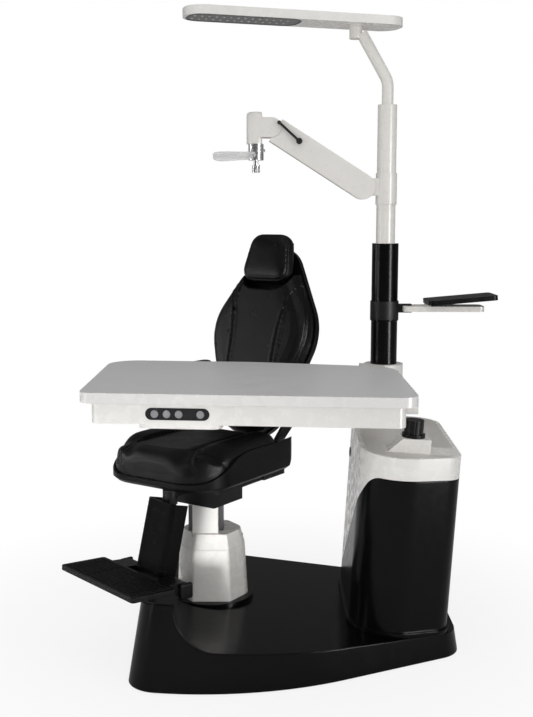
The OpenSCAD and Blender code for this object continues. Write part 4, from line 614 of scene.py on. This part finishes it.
# The instrument stand. A steel frame inside a gloss black lower shell and a white upper shell
# with a grey sloped lid, a dark socket, a grey insert on the left and one black main knob.
dress(gloss_black, "black_gloss", "stand_lower_shell")
stand_white = moulding("stand_white", (0.79, 0.775, 0.745), 0.26, 0.05, 0.0, 0.4, 0.02)
dress(stand_white, "white_gloss", "stand_upper_shell")
lid_grey = moulding("lid_grey", (0.58, 0.56, 0.53), 0.32, 0.1, 0.0, 0.4, 0.03)
dress(lid_grey, "grey_plastic", "stand_lid", "side_insert")
knob_black = moulding("knob_black", (0.004, 0.004, 0.0042), 0.34, 0.3, 0.0014, 0.2)
dress(knob_black, "black_plastic", "main_knob", "side_socket")

# The table. A lacquered board with a light grey laminate let into its top, a white moulded tray
# under its front edge with a small pod, on a white hub that turns on the stand.
lacquered_board = moulding("lacquered_board", (0.77, 0.76, 0.745), 0.26, 0.05, 0.0018, 0.4, 0.02)
dress(lacquered_board, "board", "table_slab")
dress(gloss_white, "white_gloss", "table_tray")
dress(white_paint, "cast", "table_hub")


def laminate(name, colour, rough=0.34):
    """pressed laminate: a very fine fleck under a satin film"""
    finish, nodes, links, surface = shader(name)
    fleck = noise(nodes, links, 420, 6)
    dark = [c * 0.93 for c in colour]
    light = [min(1, c * 1.05) for c in colour]
    links.new(two_tone(nodes, links, fleck, dark, light, 0.4, 0.6), surface.inputs["Base Color"])
    uneven = spread(nodes, links, noise(nodes, links, 18, 5), rough * 0.88, rough * 1.15)
    links.new(uneven, surface.inputs["Roughness"])
    grain_relief = relief(nodes, links, noise(nodes, links, 1500, 2), 0.0002, 0.12, 0.0008)
    links.new(grain_relief, surface.inputs["Normal"])
    return finish


dress(laminate("grey_laminate", (0.66, 0.66, 0.66)), "laminate", "table_surface")

# The control panel. A dark film-faced strip let into the tray, with four plain round grey keys
# that travel a little when pressed.
panel_film = moulding("panel_film", (0.014, 0.014, 0.016), 0.32, 0.1, 0.0006, 0.25)
dress(panel_film, "black_plastic", "control_panel")
dress(moulding("key_white", (0.27, 0.27, 0.28), 0.3, 0.1, 0.0008, 0.4, 0.02), "grey_plastic",
      "chair_up_button", "chair_down_button", "lamp_button", "power_button")

# The pole. A gloss black lower tube, a white upper tube and the bent tube of the lamp, a black
# collar with the shelf's white bar, and a small black shelf on the end of the bar.
dress(gloss_black, "black_gloss", "lower_pole")
white_tube = powder_coat("white_tube_paint", (0.79, 0.77, 0.73), 0.28, 0.12, 0.001, 0.02)
dress(white_tube, "white_paint", "upper_pole", "lamp_tube")
dress(black_steel, "black_paint", "shelf_collar")
dress(white_tube, "white_paint", "shelf_bar")
dress(satin_black, "black_plastic", "shelf_pad")

# The arm. Painted aluminium castings: a carriage clamped on the pole, the slanted arm and the
# head, with a small black lever, a bright holder with its knurled knob, and a clear plate.
cast_white = powder_coat("cast_white_paint", (0.79, 0.77, 0.735), 0.3, 0.2, 0.002, 0.02)
dress(cast_white, "cast", "arm_carriage", "refractor_arm", "arm_head")
dress(moulding("lever_grey", (0.02, 0.02, 0.021), 0.3, 0.1, 0.0008, 0.3), "black_plastic", "tilt_lever")
holder_steel = turned_steel("holder_steel", (0.55, 0.55, 0.56), 0.26, (1, 1, 14))
dress(holder_steel, "steel", "refractor_holder", "holder_knob")


def clear_acrylic(name):
    """cast clear sheet with the faintest ripple and fine rub marks"""
    finish, nodes, links, surface = shader(name, transmission_weight=0.7, ior=1.3)
    rub = noise(nodes, links, 55, 6)
    tint = two_tone(nodes, links, rub, (0.86, 0.87, 0.86), (0.92, 0.93, 0.92))
    links.new(tint, surface.inputs["Base Color"])
    links.new(spread(nodes, links, rub, 0.12, 0.25), surface.inputs["Roughness"])
    links.new(relief(nodes, links, noise(nodes, links, 30, 2), 0.0003, 0.1), surface.inputs["Normal"])
    return finish


dress(clear_acrylic("clear_plate_acrylic"), "clear", "clear_plate")

# The lamp. A flat white moulded housing that turns on the bent tube, with a grey window in its
# underside, a dark frame round it and two rows of small light emitters.
dress(gloss_white, "white_gloss", "lamp_housing")
dress(moulding("window_grey", (0.13, 0.13, 0.128), 0.3, 0.3, 0.0006, 0.3, 0.05), "lens", "lamp_window")
lamp_pivot, lamp_heading, pivot_in_lamp = (0.462, 0.196, 1.865), math.radians(16.8), (0.203, 0.013, 0)
lamp = (Matrix.Translation(lamp_pivot) @ Matrix.Rotation(lamp_heading, 4, "Z")
        @ Matrix.Translation(pivot_in_lamp).inverted())
window_corner = 0.040


def lamp_detail(name, mesh, finish):
    piece = bpy.data.objects.new(name, mesh)
    mesh.materials.append(finish)
    bpy.context.scene.collection.objects.link(piece)
    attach(piece, "lamp")


def window_outline(grow, height):
    """rounded rectangle round the window, in the lamp's frame"""
    out = []
    corners = ((-0.031, -0.016, -90), (-0.031, 0.016, 0), (-0.291, 0.016, 90), (-0.291, -0.016, 180))
    for cx, cy, turn in corners:
        for i in range(7):
            a = math.radians(turn + i * 15)
            r = window_corner + grow
            out.append(lamp @ Vector((cx + r * math.cos(a), cy + r * math.sin(a), height)))
    return out


frame_bm = bmesh.new()
rings = [[frame_bm.verts.new(p) for p in window_outline(grow, height)]
         for grow, height in ((0.0, 0.0004), (0.0, -0.0012), (0.004, -0.0012), (0.004, 0.0004))]
for ring, after in zip(rings, rings[1:] + rings[:1]):
    for i in range(28):
        frame_bm.faces.new((ring[i], ring[(i + 1) % 28], after[(i + 1) % 28], after[i]))
bmesh.ops.recalc_face_normals(frame_bm, faces=frame_bm.faces)
window_frame = bpy.data.meshes.new("lamp_window_frame")
frame_bm.to_mesh(window_frame)
frame_bm.free()
frame_grey = moulding("frame_grey", (0.05, 0.05, 0.05), 0.4)
lamp_detail("lamp_window_frame", window_frame, frame_grey)

emitter_r, emitter_t, emitter_pitch, emitter_first = 0.0035, 0.0012, 0.022, -0.316
dot_bm = bmesh.new()
for row in (-emitter_pitch, emitter_pitch):
    for i in range(14):
        spot = lamp @ Matrix.Translation((emitter_first + i * emitter_pitch, row, -emitter_t / 2))
        bmesh.ops.create_cone(dot_bm, cap_ends=True, segments=16, radius1=emitter_r, radius2=emitter_r,
                              depth=emitter_t, matrix=spot)
dots = bpy.data.meshes.new("lamp_emitters")
dot_bm.to_mesh(dots)
dot_bm.free()
lamp_detail("lamp_emitters", dots, moulding("emitter_white", (0.62, 0.62, 0.58), 0.3))
